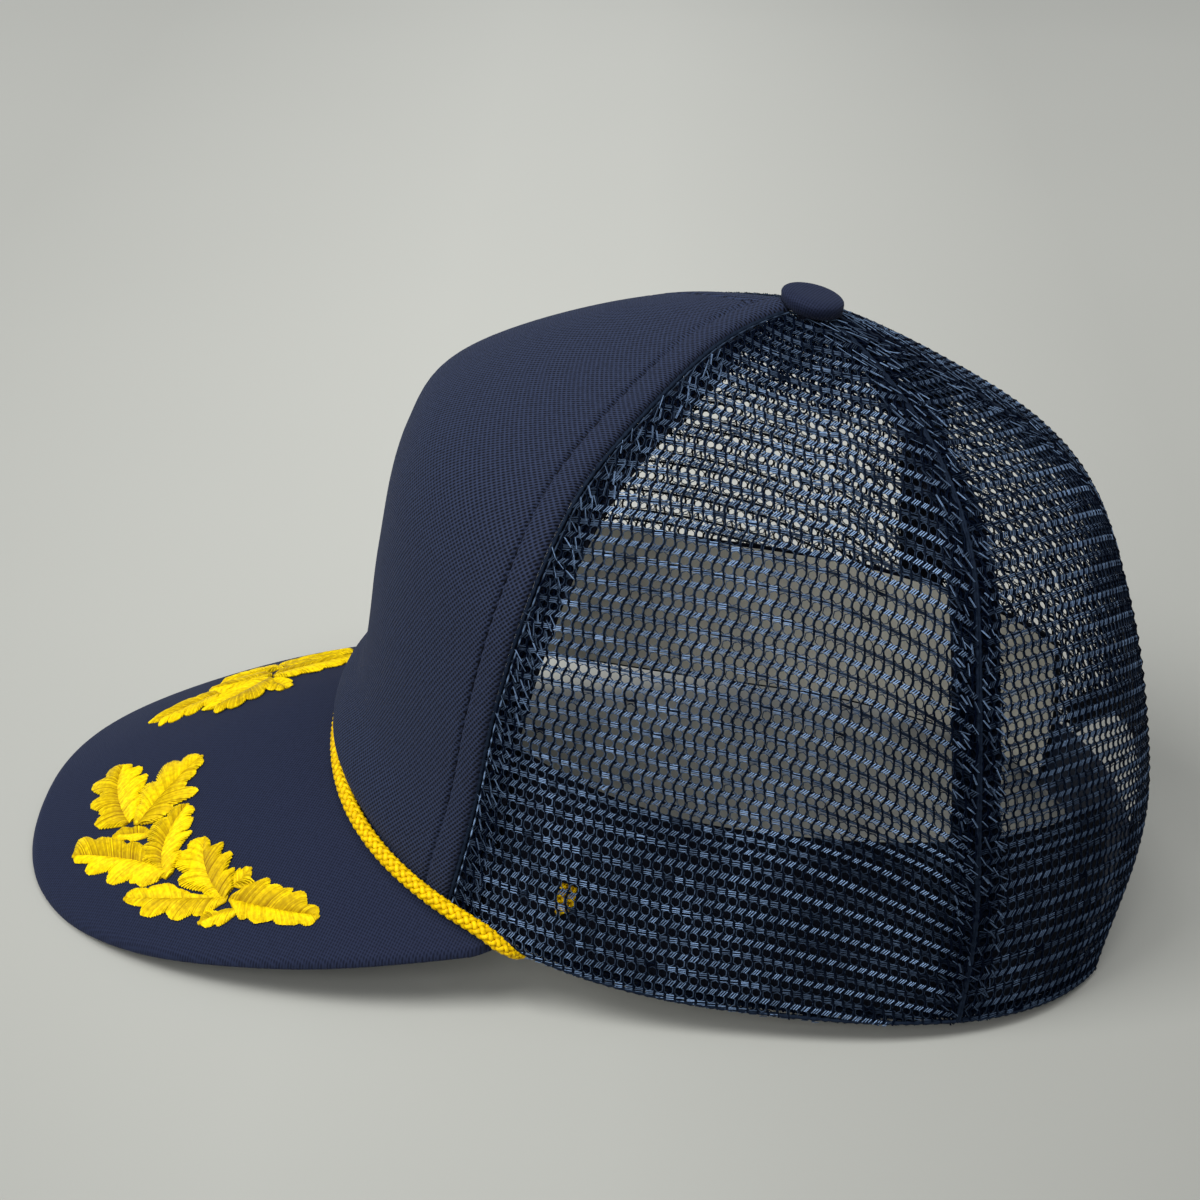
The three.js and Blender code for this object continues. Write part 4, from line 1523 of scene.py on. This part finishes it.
@dataclass
class TopButton:
    """The cloth-covered button where the panels meet."""

    shop: Workshop
    radius: float = 7.7
    height: float = 3.9
    edge: float = 2.3
    tilt: float = 9.0
    roundness: float = 0.36
    stem_radius: float = 3.0
    stem_length: float = 4.0
    clear: float = 0.7
    sides: int = 64
    steps: int = 16

    def build(self) -> None:
        """Builds the button."""
        foot = np.array([0.0, CROWN.rings[-1][0], CROWN.rings[-1][1]])
        lean = math.radians(self.tilt)
        axis = np.array([0.0, math.sin(lean), math.cos(lean)])
        angle = np.linspace(-180, 180, self.sides, endpoint=False)
        flat = np.stack([np.sin(np.radians(angle)), -np.cos(np.radians(angle)), np.zeros(self.sides)], -1)
        rings = []
        for down in (self.stem_length, 0.4):
            rings.append(foot + flat * self.stem_radius - (0, 0, down))
        for share in (0.6, 0.8, 0.9):
            rings.append(self._on_crown(foot, angle, self.radius * share))
        in_plane = flat - (flat @ axis)[:, None] * axis
        in_plane /= np.linalg.norm(in_plane, axis=1, keepdims=True)
        for turn in np.linspace(0, math.pi / 2, self.steps)[:-1]:
            radius = self.radius * math.cos(turn) ** self.roundness
            up = self.edge + (self.height - self.edge) * math.sin(turn)
            rings.append(foot + in_plane * radius + axis * up)
        points = np.concatenate(rings)
        steps = np.linalg.norm(np.diff(np.stack(rings[::-1]), axis=0), axis=2).mean(axis=1)
        innermost = np.linalg.norm(rings[-1][0] - rings[-1].mean(axis=0))
        out = np.concatenate([[0.0], np.cumsum(steps)])[::-1] + innermost
        cloth = (out[:, None, None] * flat[None, :, :2]).reshape(-1, 2)
        grid = np.arange(len(points)).reshape(len(rings), self.sides)
        button = make_mesh("top_button_cloth", points, loop_solid(grid), cloth)
        turn_outwards(button)
        dress(button, self.shop.finishes.brim_cloth, "foam_cloth", "top_button")

    def _on_crown(self, foot: Array, angle: Array, radius: float) -> Array:
        """A ring of points on the crown, so far out from the button's foot."""

        def inwards(t: Array) -> Array:
            """Minus the distance from the foot, which rises with t."""
            away = CROWN.bare(t, angle) - foot
            return -np.hypot(away[..., 0], away[..., 1])

        t = _solve(inwards, np.full(angle.shape, -radius), 0.7, 0.995)
        return CROWN.point(t, angle, -self.clear)


# Rope and leaves


@dataclass
class Rope:
    """The braided cord along the foot of the front panel, with both ends under the hem."""

    shop: Workshop
    brim: Brim
    radius: float = 2.0
    end_angle: float = 54.0
    out: float = 2.7
    above: float = 3.9
    strands: int = 8
    braid_pitch: float = 8.8
    strand_radius: float = 0.72
    outer_radius: float = 1.78
    step: float = 0.4
    thinnest: float = 0.5
    tail: tuple = (
        (56.5, -2.5, 3.4, 1.8, 1.8),
        (58.3, -2.2, 2.3, 1.7, 1.6),
        (59.6, -1.6, 1.4, 1.4, 1.0),
        (60.4, -0.5, 0.3, 1.1, 0.5),
        (61.0, 1.1, 0.0, 0.8, 0.45),
        (61.8, 2.3, 2.0, 0.3, 0.3),
        (64.4, 2.5, 14.0, 0.3, 0.3),
        (65.0, 2.3, 17.5, 2.6, 0.5),
        (65.4, 2.25, 23.0, 2.6, 0.5),
    )

    def _route(self) -> tuple[Array, Array, Array]:
        """The rope's line: its points, its outward directions, and its half width and half depth."""
        angle = np.arange(-self.end_angle, self.end_angle + 0.1, 3.0)
        centre = self.brim.root(angle, self.out, self.above)
        t = CROWN.ring_at(np.abs(angle), centre[:, 2])
        halves = np.full((len(angle), 2), self.outer_radius)
        middle = np.concatenate([centre, CROWN.normal(t, angle), halves], 1)
        turn, depth, height, half_width, half_depth = np.array(self.tail).T
        tail_t = CROWN.ring_at(turn, CROWN.bare(0.0, turn)[:, 2] + height)
        end = np.concatenate(
            [
                CROWN.point(tail_t, turn, depth),
                CROWN.normal(tail_t, turn),
                np.stack([half_width, half_depth], -1),
            ],
            1,
        )
        other = end[::-1] * (-1, 1, 1, -1, 1, 1, 1, 1)
        stops = np.concatenate([other, middle, end])
        along = run_length(stops[:, :3])
        fine = np.arange(0, along[-1], self.step)
        smooth = _curve_through(along, stops, fine)
        return smooth[:, :3], smooth[:, 3:6], np.maximum(smooth[:, 6:], 0.25)

    def build(self) -> None:
        """Braids the rope round its line."""
        centre, outwards, halves = self._route()
        along = np.gradient(centre, axis=0)
        along /= np.linalg.norm(along, axis=1, keepdims=True)
        across = np.cross(along, outwards)
        across /= np.linalg.norm(across, axis=1, keepdims=True)
        outwards = np.cross(across, along)
        distance = np.arange(len(centre)) * self.step
        thick = np.flatnonzero(halves[:, 0] > self.thinnest)
        runs = np.split(thick, np.flatnonzero(np.diff(thick) > 1) + 1)
        strands = Strands()
        flat = halves[:, [1]] / self.radius
        for number in range(self.strands):
            way = 1 if number % 2 == 0 else -1
            phase = 2 * math.pi * (number // 2) / (self.strands / 2)
            turn = way * (2 * math.pi * distance / self.braid_pitch + phase)
            weave = np.cos(2 * turn * (self.strands / 4) * way + (0 if way > 0 else math.pi))
            reach = 1 - (self.strand_radius * 0.9) / self.radius + 0.09 * weave
            line = (
                centre
                + across * (halves[:, [0]] * (reach * np.cos(turn))[:, None])
                + outwards * (halves[:, [1]] * (reach * np.sin(turn))[:, None])
            )
            radius = self.strand_radius * (0.55 + 0.45 * flat[:, 0])
            for run in runs:
                # The strands are painted darker where they pass under, as painted shade in the braid's
                # crevices.
                strands.add(line[None, run], radius[None, run], 0.5 + 0.5 * weave[None, run])
        # The core is painted at the darkest tone, as shade inside the braid.
        for run in runs:
            strands.add(centre[None, run], (halves[run, 1] * 0.62)[None], 0.0)
        item = strands.make("rope_strands")
        rope = self.shop.yarn.bake(item, Sides=6, Material=self.shop.finishes.cord)
        rope.name = rope.data.name = "rope_braid"
        dress(rope, self.shop.finishes.cord, "gold_cord", "rope")


def _curve_through(places: Array, values: Array, wanted: Array) -> Array:
    """Runs a smooth curve through values at uneven places.

    Args:
        places: Where each row of values lies.
        values: The rows.
        wanted: Where to read the curve.

    Returns:
        The curve's rows there.
    """
    slopes = np.gradient(values, places, axis=0)
    i = np.clip(np.searchsorted(places, wanted, side="right") - 1, 0, len(places) - 2)
    gap = (places[i + 1] - places[i])[:, None]
    f = (wanted - places[i])[:, None] / gap
    start, end = values[i], values[i + 1]
    return (
        start * (2 * f**3 - 3 * f**2 + 1)
        + slopes[i] * gap * (f**3 - 2 * f**2 + f)
        + end * (3 * f**2 - 2 * f**3)
        + slopes[i + 1] * gap * (f**3 - f**2)
    )


@dataclass(frozen=True)
class Leaf:
    """One stitched oak leaf, seen from above.

    rib is its midrib's start, middle and tip. left and right are how far the threads reach from the rib to
    each side, at even steps from the start to the tip. layer is how far it is lifted over its neighbours.
    left_is_bright says which half is painted lit, as the satin's highlight; the other half is painted in
    shade.
    """

    rib: tuple
    left: tuple
    right: tuple
    layer: float = 0.0
    lobes: int = 4
    left_is_bright: bool = True


LEFT_LEAVES = (
    Leaf(
        rib=((28.8, -150.7), (15.2, -156.4), (2.0, -157.7)),
        left=(2.3, 5.7, 6.7, 6.7, 5.3, 7.1, 7.4, 5.7, 7.9, 7.9, 6.7, 5.7, 4.5, 2.8, 0.5),
        right=(2.4, 4.0, 5.1, 6.3, 7.4, 8.4, 8.7, 8.3, 7.5, 6.7, 5.8, 4.6, 3.2, 1.8, 0.3),
        left_is_bright=False,
    ),
    Leaf(
        rib=((31.0, -148.0), (21.8, -143.1), (9.9, -135.3)),
        left=(1.2, 2.6, 4.1, 5.6, 7.5, 8.4, 8.5, 9.3, 9.8, 9.5, 8.7, 7.1, 5.2, 2.9, 0.0),
        right=(5.1, 5.5, 6.3, 7.9, 9.8, 9.8, 8.8, 5.8, 4.0, 4.9, 5.0, 4.3, 3.2, 1.7, 0.0),
        layer=0.35,
    ),
    Leaf(
        rib=((35.0, -144.1), (33.6, -148.8), (32.1, -153.9)),
        left=(1.5, 1.9, 2.2, 2.0, 1.8, 0.9, 0.0),
        right=(0.7, 1.9, 2.7, 3.1, 3.1, 1.7, 0.0),
        lobes=2,
    ),
    Leaf(
        rib=((48.4, -136.4), (41.0, -149.6), (34.3, -163.9)),
        left=(5.2, 5.6, 5.3, 6.9, 7.3, 7.0, 5.6, 5.9, 6.2, 5.5, 4.0, 3.1, 3.0, 1.6, 0.0),
        right=(0.5, 0.7, 0.9, 1.7, 3.1, 4.7, 5.7, 6.2, 6.5, 6.8, 8.4, 8.6, 7.1, 3.9, 0.1),
    ),
    Leaf(
        rib=((51.0, -136.8), (41.2, -139.4), (28.9, -135.5)),
        left=(0.0, 1.0, 1.7, 2.7, 4.4, 5.5, 6.7, 6.7, 6.7, 6.6, 6.2, 5.5, 4.1, 2.4, 0.3),
        right=(2.3, 3.7, 5.1, 5.6, 5.3, 7.4, 7.6, 7.0, 6.2, 6.1, 5.9, 5.1, 3.7, 2.0, 0.1),
        layer=0.5,
        left_is_bright=False,
    ),
    Leaf(
        rib=((60.7, -121.0), (51.7, -126.8), (41.6, -129.0)),
        left=(0.3, 1.1, 1.9, 3.3, 4.8, 6.6, 7.2, 7.6, 7.6, 7.5, 7.0, 5.4, 3.8, 2.0, 0.1),
        right=(4.4, 4.6, 5.8, 5.5, 7.3, 6.9, 5.7, 6.5, 6.2, 4.5, 3.2, 2.5, 1.9, 1.2, 0.1),
        layer=0.3,
    ),
    Leaf(
        rib=((57.1, -119.1), (55.7, -117.2), (53.5, -115.6)),
        left=(2.4, 2.8, 3.0, 2.7, 2.0, 1.2, 0.0),
        right=(0.8, 3.4, 3.9, 2.3, 1.3, 0.6, 0.0),
        lobes=2,
    ),
    Leaf(
        rib=((60.4, -120.2), (57.5, -133.0), (53.5, -146.8)),
        left=(0.9, 2.6, 4.1, 5.1, 5.5, 5.2, 4.7, 5.3, 5.3, 5.0, 3.8, 2.6, 2.0, 1.5, 0.1),
        right=(0.9, 1.0, 1.0, 1.1, 0.9, 1.3, 2.7, 4.8, 4.5, 4.3, 4.5, 4.1, 3.4, 2.3, 0.1),
        layer=0.1,
        left_is_bright=False,
    ),
    Leaf(
        rib=((60.8, -119.5), (65.4, -108.1), (68.8, -96.9)),
        left=(1.7, 4.3, 6.7, 7.2, 6.0, 5.3, 6.7, 6.8, 5.8, 4.6, 4.0, 3.6, 2.9, 1.5, 0.0),
        right=(0.0, 1.9, 3.7, 4.2, 4.1, 3.5, 3.4, 3.9, 3.5, 3.4, 3.7, 3.6, 2.8, 1.5, 0.1),
        layer=0.15,
        left_is_bright=False,
    ),
    Leaf(
        rib=((64.0, -117.3), (64.1, -121.3), (65.2, -126.3)),
        left=(1.3, 2.6, 3.1, 3.1, 2.6, 1.4, 0.0),
        right=(0.2, 0.4, 0.8, 1.1, 2.7, 1.5, 0.0),
        lobes=2,
    ),
)


def oak_leaf(start: tuple, tip: tuple, bend: float, half_width: float, **more: object) -> Leaf:
    """Makes a plain leaf.

    Args:
        start: Where its midrib starts.
        tip: Its tip.
        bend: How far the midrib's middle lies to its left.
        half_width: Its half width.
        more: The leaf's other fields.

    Returns:
        The leaf.
    """
    a, b = np.array(start), np.array(tip)
    way = (b - a) / np.linalg.norm(b - a)
    middle = (a + b) / 2 + bend * np.array([-way[1], way[0]])
    s = np.linspace(0, 1, 15)
    full = 0.25 + 0.75 * np.sin(math.pi * s**0.8) ** 0.6
    widths = tuple(half_width * full * np.minimum((1 - s) / 0.12, 1) ** 0.5)
    return Leaf(rib=(start, tuple(middle), tip), left=widths, right=widths, **more)


RIGHT_LEAVES = (
    oak_leaf((-43.0, -124.0), (-48.0, -104.0), 0.5, 6.6),
    oak_leaf((-43.0, -123.0), (-43.5, -138.0), -0.4, 6.0, lobes=4, left_is_bright=False),
    oak_leaf((-29.0, -137.0), (-20.5, -152.0), -0.6, 7.8, lobes=4),
    oak_leaf((-33.0, -123.0), (-36.5, -102.0), 0.8, 7.0, layer=0.15, left_is_bright=False),
    oak_leaf((-35.5, -124.0), (-34.0, -140.0), 0.5, 6.4, layer=0.25, lobes=4),
    oak_leaf((-31.0, -124.0), (-17.0, -136.5), 0.6, 8.0, layer=0.4, lobes=4, left_is_bright=False),
    oak_leaf((-29.0, -124.0), (-20.0, -118.0), 0.2, 3.8, layer=0.1, lobes=3),
)


@dataclass
class LeafSprays:
    """The two sprays of satin-stitched oak leaves on the brim."""

    shop: Workshop
    brim: Brim
    thread_pitch: float = 0.4
    thread_radius: float = 0.25
    uneven: float = 0.07
    fullness: float = 1.14
    pad_radius: float = 0.5
    pad_height: float = 0.15
    pad_places: tuple = (0.2, 0.4, 0.6, 0.8)
    height: float = 0.22
    puff: float = 0.9
    lobe_depth: float = 0.3
    # bright and shaded are the tones of a leaf's two halves: painted highlight on one, painted shade on the
    # other.
    bright: float = 0.9
    shaded: float = 0.5
    mixed: float = 0.15
    base_slant: float = 74.0
    tip_slant: float = 30.0
    steps: int = 5

    def build(self) -> None:
        """Stitches both sprays."""
        for hand in Side:
            strands = Strands()
            rng = np.random.default_rng(50 + hand.value)
            for leaf in LEFT_LEAVES if hand is Side.LEFT else RIGHT_LEAVES:
                self._stitch(strands, leaf, rng)
            item = strands.make(f"leaf_threads_{hand.word}")
            spray = self.shop.yarn.bake(item, Sides=4, Material=self.shop.finishes.thread)
            dress(spray, self.shop.finishes.thread, "gold_thread", f"leaf_spray_{hand.word}")

    def _lay(self, flat: Array, above: Array) -> Array:
        """Lays flat points on the brim, so far above its cloth."""
        x, y = flat[..., 0], flat[..., 1]
        return np.stack([x, y, self.brim.middle(x, y) + self.brim.half_thickness + above], -1)

    def _stitch(self, strands: Strands, leaf: Leaf, rng: np.random.Generator) -> None:
        """Adds the threads of one leaf, half by half, with a groove between the halves."""
        start, middle, tip = (np.array(p) for p in leaf.rib)
        knee = 2 * middle - (start + tip) / 2
        length = np.linalg.norm(middle - start) + np.linalg.norm(tip - middle)
        count = max(int(1.2 * length / self.thread_pitch), 8)
        s = np.linspace(0, 1, count)
        rib = (1 - s)[:, None] ** 2 * start + (2 * s * (1 - s))[:, None] * knee + (s**2)[:, None] * tip
        way = (2 * (1 - s))[:, None] * (knee - start) + (2 * s)[:, None] * (tip - knee)
        way /= np.linalg.norm(way, axis=1, keepdims=True)
        side = np.stack([-way[:, 1], way[:, 0]], -1)
        slant = np.radians(self.base_slant + (self.tip_slant - self.base_slant) * s)
        notch = (1 - np.abs(np.sin(math.pi * leaf.lobes * s**0.92))) ** 1.5
        for sign, widths in ((1, leaf.left), (-1, leaf.right)):
            # One half of each leaf is painted bright as the satin's highlight, the other painted as its
            # shade.
            tone = self.bright if (sign > 0) == leaf.left_is_bright else self.shaded
            reach = self.fullness * np.interp(s, np.linspace(0, 1, len(widths)), widths)
            reach = np.maximum(reach * (1 - self.lobe_depth * notch) + rng.normal(0, self.uneven, count), 0.3)
            aim = np.cos(slant)[:, None] * way + sign * np.sin(slant)[:, None] * side
            f = np.linspace(0, 1, self.steps)
            flat = rib[:, None] + aim[:, None] * (reach[:, None] * f)[..., None]
            puff = self.puff * np.minimum(reach / 4, 1)[:, None] * (4 * f * (1 - f)) ** 0.6
            above = self.height + leaf.layer * (1 - 0.55 * f) + puff + rng.normal(0, 0.03, (count, 1))
            # Painted shade: the threads darken towards the rib's groove, and the two halves' tones meet at
            # the leaf's edge.
            shade = tone + rng.normal(0, self.mixed, (count, 1)) - 0.3 * (1 - f) ** 3 + (0.8 - tone) * f**4
            strands.add(self._lay(flat, above), self.thread_radius, shade)
            # The pads under the threads are painted darker than the shaded half, as shade in the gaps between
            # the threads.
            parts = np.array(self.pad_places)[:, None, None]
            within = flat[:, 0][None] + (flat[:, -1] - flat[:, 0])[None] * parts
            above = self.pad_height + leaf.layer * 0.6
            strands.add(self._lay(within, above), self.pad_radius, self.shaded - 0.1)


# Tapes, band and strap


def band_section(low: float, high: float, outer: float, inner: float, steps: int) -> Array:
    """A band's section with rounded edges.

    Args:
        low: Where it starts across.
        high: Where it ends across.
        outer: The depth of its outer face.
        inner: The depth of its inner face.
        steps: How many steps each face has.

    Returns:
        A closed loop of (across, depth) points.
    """
    half = (inner - outer) / 2
    middle = (inner + outer) / 2
    across = np.linspace(low + half, high - half, steps)
    turn = np.linspace(-math.pi / 2, math.pi / 2, 5)[1:-1]
    top = np.stack([high - half + half * np.cos(turn), middle + half * np.sin(turn)], -1)
    bottom = np.stack([low + half - half * np.cos(turn), middle - half * np.sin(turn)], -1)
    up = np.stack([across, np.full(steps, outer)], -1)
    down = np.stack([across[::-1], np.full(steps, inner)], -1)
    return np.concatenate([up, top, down, bottom])


@dataclass
class Lining:
    """The tapes behind the seams and the arch, the sweatband and the strap."""

    shop: Workshop
    net_wall: float = 1.2
    tape_gap: float = 0.45
    tape_wall: float = 0.8
    seam_gap: float = 0.4
    front_width: float = 8.0
    side_width: float = 13.0
    back_width: float = 13.0
    tape_from: float = 0.02
    tape_to: float = 0.945
    back_from_height: float = 52.0
    arch_half_width: float = 45.0
    arch_height: float = 42.0
    arch_width: float = 7.0
    band_end: float = 149.0
    band_bottom: float = 0.006
    band_top: float = 0.285
    band_depth: float = 3.1
    band_wall: float = 1.5
    band_lean: float = 2.6
    strap_half_width: float = 53.0
    strap_height: float = 21.0
    strap_wall: float = 1.2

    def build(self) -> None:
        """Builds every lining piece."""
        outer = self.net_wall + self.tape_gap
        front, side, back = (self.seam_gap, self.front_width), self.side_width / 2, self.back_width / 2
        for hand in Side:
            name = f"front_seam_tape_{hand.word}"
            self._seam_tape(name, hand, lambda t: CROWN.seam("front", t), front, outer)
            name = f"side_seam_tape_{hand.word}"
            self._seam_tape(name, hand, lambda t: CROWN.seam("side", t), (-side, side), outer)
        start = float(CROWN.ring_at(180.0, self.back_from_height))
        self._seam_tape("back_seam_tape", Side.LEFT, back_seam, (-back, back), outer, start)
        self._arch_tape(outer)
        self._sweatband()
        self._strap(outer)

    def _solid(self, name: str, loops: Array, cloth: Array) -> Item:
        """Makes a closed solid through loops of points."""
        count = loops.shape[0] * loops.shape[1]
        grid = np.arange(count).reshape(loops.shape[:2])
        item = make_mesh(name, loops.reshape(-1, 3), loop_solid(grid), cloth.reshape(-1, 2))
        turn_outwards(item)
        return item

    def _seam_tape(
        self,
        node: str,
        hand: Side,
        line: Callable[[Array], Array],
        reach: tuple[float, float],
        outer: float,
        start: float | None = None,
    ) -> None:
        """Builds a tape behind a seam.

        Args:
            node: The solid that it stands for.
            hand: Its side.
            line: The seam's angle at each t.
            reach: Where it starts and ends, in millimetres behind the seam.
            outer: The depth of its outer face.
            start: The t where it starts.
        """
        t = np.linspace(self.tape_from if start is None else start, self.tape_to, 90)
        section = band_section(*reach, outer, outer + self.tape_wall, 9)
        narrow = np.clip((0.965 - t) / 0.1, 0.3, 1)[:, None]
        angle = line(t)[:, None] + narrow * section[None, :, 0] / CROWN.per_degree(t, line(t))[:, None]
        points = CROWN.point(t[:, None], angle, section[None, :, 1]) * (hand.value, 1, 1)
        cloth = np.stack(np.broadcast_arrays(section[None, :, 0], (t * 170)[:, None]), -1)
        tape = self._solid(f"{node}_cloth", points, cloth)
        dress(tape, self.shop.finishes.tape, "tape", node)

    def _arch_tape(self, outer: float) -> None:
        """Builds the tape inside the arch's edge."""
        lowest = math.asin((self.strap_height + 2) / self.arch_height)
        turn = np.linspace(lowest, math.pi - lowest, 90)
        section = band_section(0.8, 0.8 + self.arch_width, outer, outer + self.tape_wall, 7)
        grow = section[None, :, 0]
        x = (self.arch_half_width + grow) * np.cos(turn)[:, None]
        z = (self.arch_height + grow) * np.sin(turn)[:, None]
        angle = CROWN.angle_at(np.abs(x), z)
        points = CROWN.point(CROWN.ring_at(angle, z), angle, section[None, :, 1])
        points[..., 0] *= np.where(x < 0, -1, 1)
        cloth = np.stack(np.broadcast_arrays(grow, (turn * 44)[:, None]), -1)
        dress(self._solid("arch_tape_cloth", points, cloth), self.shop.finishes.tape, "tape", "arch_tape")

    def _sweatband(self) -> None:
        """Builds the sweatband."""
        angle = np.linspace(-self.band_end, self.band_end, 240)
        tall = 38.0
        section = band_section(0.0, tall, 0.0, self.band_wall, 14)
        up = section[:, 0] / tall
        t = self.band_bottom + (self.band_top - self.band_bottom) * up
        depth = self.band_depth + self.band_lean * up + section[:, 1]
        points = CROWN.point(t[None], angle[:, None], depth[None])
        cloth = np.stack(np.broadcast_arrays((angle * 1.5)[:, None], section[None, :, 0]), -1)
        band = self._solid("sweatband_cloth", points, cloth)
        band.data.materials.append(self.shop.finishes.band)
        band.data.materials.append(self.shop.finishes.lining)
        inner = np.broadcast_to(section[None, :, 1] > self.band_wall - 0.01, points.shape[:2]).ravel()
        for face in band.data.polygons:
            face.material_index = int(inner[list(face.vertices)].all())
        dress(band, self.shop.finishes.band, "band_cloth", "sweatband")

    def _strap(self, outer: float) -> None:
        """Builds the strap, with its lower edge level."""
        x = np.linspace(-self.strap_half_width, self.strap_half_width, 90)
        section = band_section(0.0, self.strap_height, outer, outer + self.strap_wall, 9)
        z = np.broadcast_to(section[None, :, 0], (len(x), len(section)))
        angle = CROWN.angle_at(np.abs(x)[:, None], np.maximum(z, 1.0))
        points = CROWN.point(CROWN.ring_at(angle, z), angle, section[None, :, 1])
        points[..., 2] = z
        points[..., 0] *= np.where(x < 0, -1, 1)[:, None]
        cloth = np.stack(np.broadcast_arrays(x[:, None], z), -1)
        dress(self._solid("strap_plain", points, cloth), self.shop.finishes.strap, "strap", "snap_strap")


# Camera, light and floor


@dataclass(frozen=True)
class PhotoCamera:
    """The camera at the photograph's viewing angle, fitted to its outlines."""

    azimuth: float = 90.1
    elevation: float = 27.68
    roll: float = 3.65
    distance: float = 605.22
    focal_share: float = 2380.16 / 1200
    aim: tuple = (0.0, -34.54, 73.16)
    sensor: float = 36.0

    def build(self) -> None:
        """Makes the camera the scene's own."""
        a, e, q = (math.radians(x) for x in (self.azimuth, self.elevation, self.roll))
        back = np.array([math.sin(a) * math.cos(e), -math.cos(a) * math.cos(e), math.sin(e)])
        right = np.cross([0, 0, 1], back)
        right /= np.linalg.norm(right)
        up = np.cross(back, right)
        turned_right = math.cos(q) * right + math.sin(q) * up
        turned_up = -math.sin(q) * right + math.cos(q) * up
        place = to_frame(np.array(self.aim) + self.distance * back)
        data = bpy.data.cameras.new("photo_camera")
        data.sensor_width = self.sensor
        data.sensor_fit = "HORIZONTAL"
        data.lens = self.sensor * self.focal_share
        data.clip_start = 0.01
        camera = bpy.data.objects.new("photo_camera", data)
        matrix = Matrix(np.column_stack([turned_right, turned_up, back]).tolist()).to_4x4()
        matrix.translation = Vector(place.tolist())
        camera.matrix_world = matrix
        show(camera)
        bpy.context.scene.camera = camera


@dataclass(frozen=True)
class Lamp:
    """A square softbox that looks at the cap."""

    name: str
    place: tuple
    size: float
    power: float
    colour: tuple = (1.0, 1.0, 1.0)

    def build(self) -> None:
        """Hangs the lamp."""
        data = bpy.data.lights.new(self.name, "AREA")
        data.shape = "SQUARE"
        data.size = self.size
        data.energy = self.power
        data.color = self.colour
        lamp = bpy.data.objects.new(self.name, data)
        lamp.location = self.place
        aim = Vector((0.0, 0.0, 0.07)) - Vector(self.place)
        lamp.rotation_euler = aim.to_track_quat("-Z", "Y").to_euler()
        show(lamp)


@dataclass
class Studio:
    """A pale floor with painted shade towards the camera and the sides, and soft light."""

    shop: Workshop
    sky: float = 0.36
    lamps: tuple = (
        Lamp("key", (0.6, -0.95, 1.5), 0.8, 26.0),
        Lamp("fill", (1.55, -0.45, 1.0), 0.8, 12.0),
        Lamp("top", (0.45, 0.3, 1.8), 1.0, 15.0),
    )

    def build(self) -> None:
        """Builds the floor, the lamps and the surrounding light."""
        half = 4.0
        mesh = bpy.data.meshes.new("floor")
        low = -0.0003
        square = [(-half, -half, low), (half, -half, low), (half, half, low), (-half, half, low)]
        mesh.from_pydata(square, [], [(0, 1, 2, 3)])
        mesh.materials.append(self.shop.finishes.floor)
        floor = bpy.data.objects.new("floor", mesh)
        show(floor)
        world = bpy.data.worlds.new("studio")
        world.use_nodes = True
        sky = world.node_tree.nodes["Background"]
        sky.inputs["Color"].default_value = (0.93, 0.95, 1.0, 1.0)
        sky.inputs["Strength"].default_value = self.sky
        bpy.context.scene.world = world
        for lamp in self.lamps:
            lamp.build()
        bpy.context.scene.view_settings.view_transform = "Standard"


def main() -> None:
    """Builds the cap piece by piece, then its studio."""
    logging.basicConfig(level=logging.INFO, format="%(name)s: %(message)s")
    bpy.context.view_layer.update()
    PhotoCamera().build()
    shop = Workshop()
    brim = Brim(shop)
    FrontPanel(shop).build()
    brim.build()
    TopButton(shop).build()
    Rope(shop, brim).build()
    LeafSprays(shop, brim).build()
    NetPanels(shop).build()
    Lining(shop).build()
    Studio(shop).build()


if __name__ == "__main__":
    main()
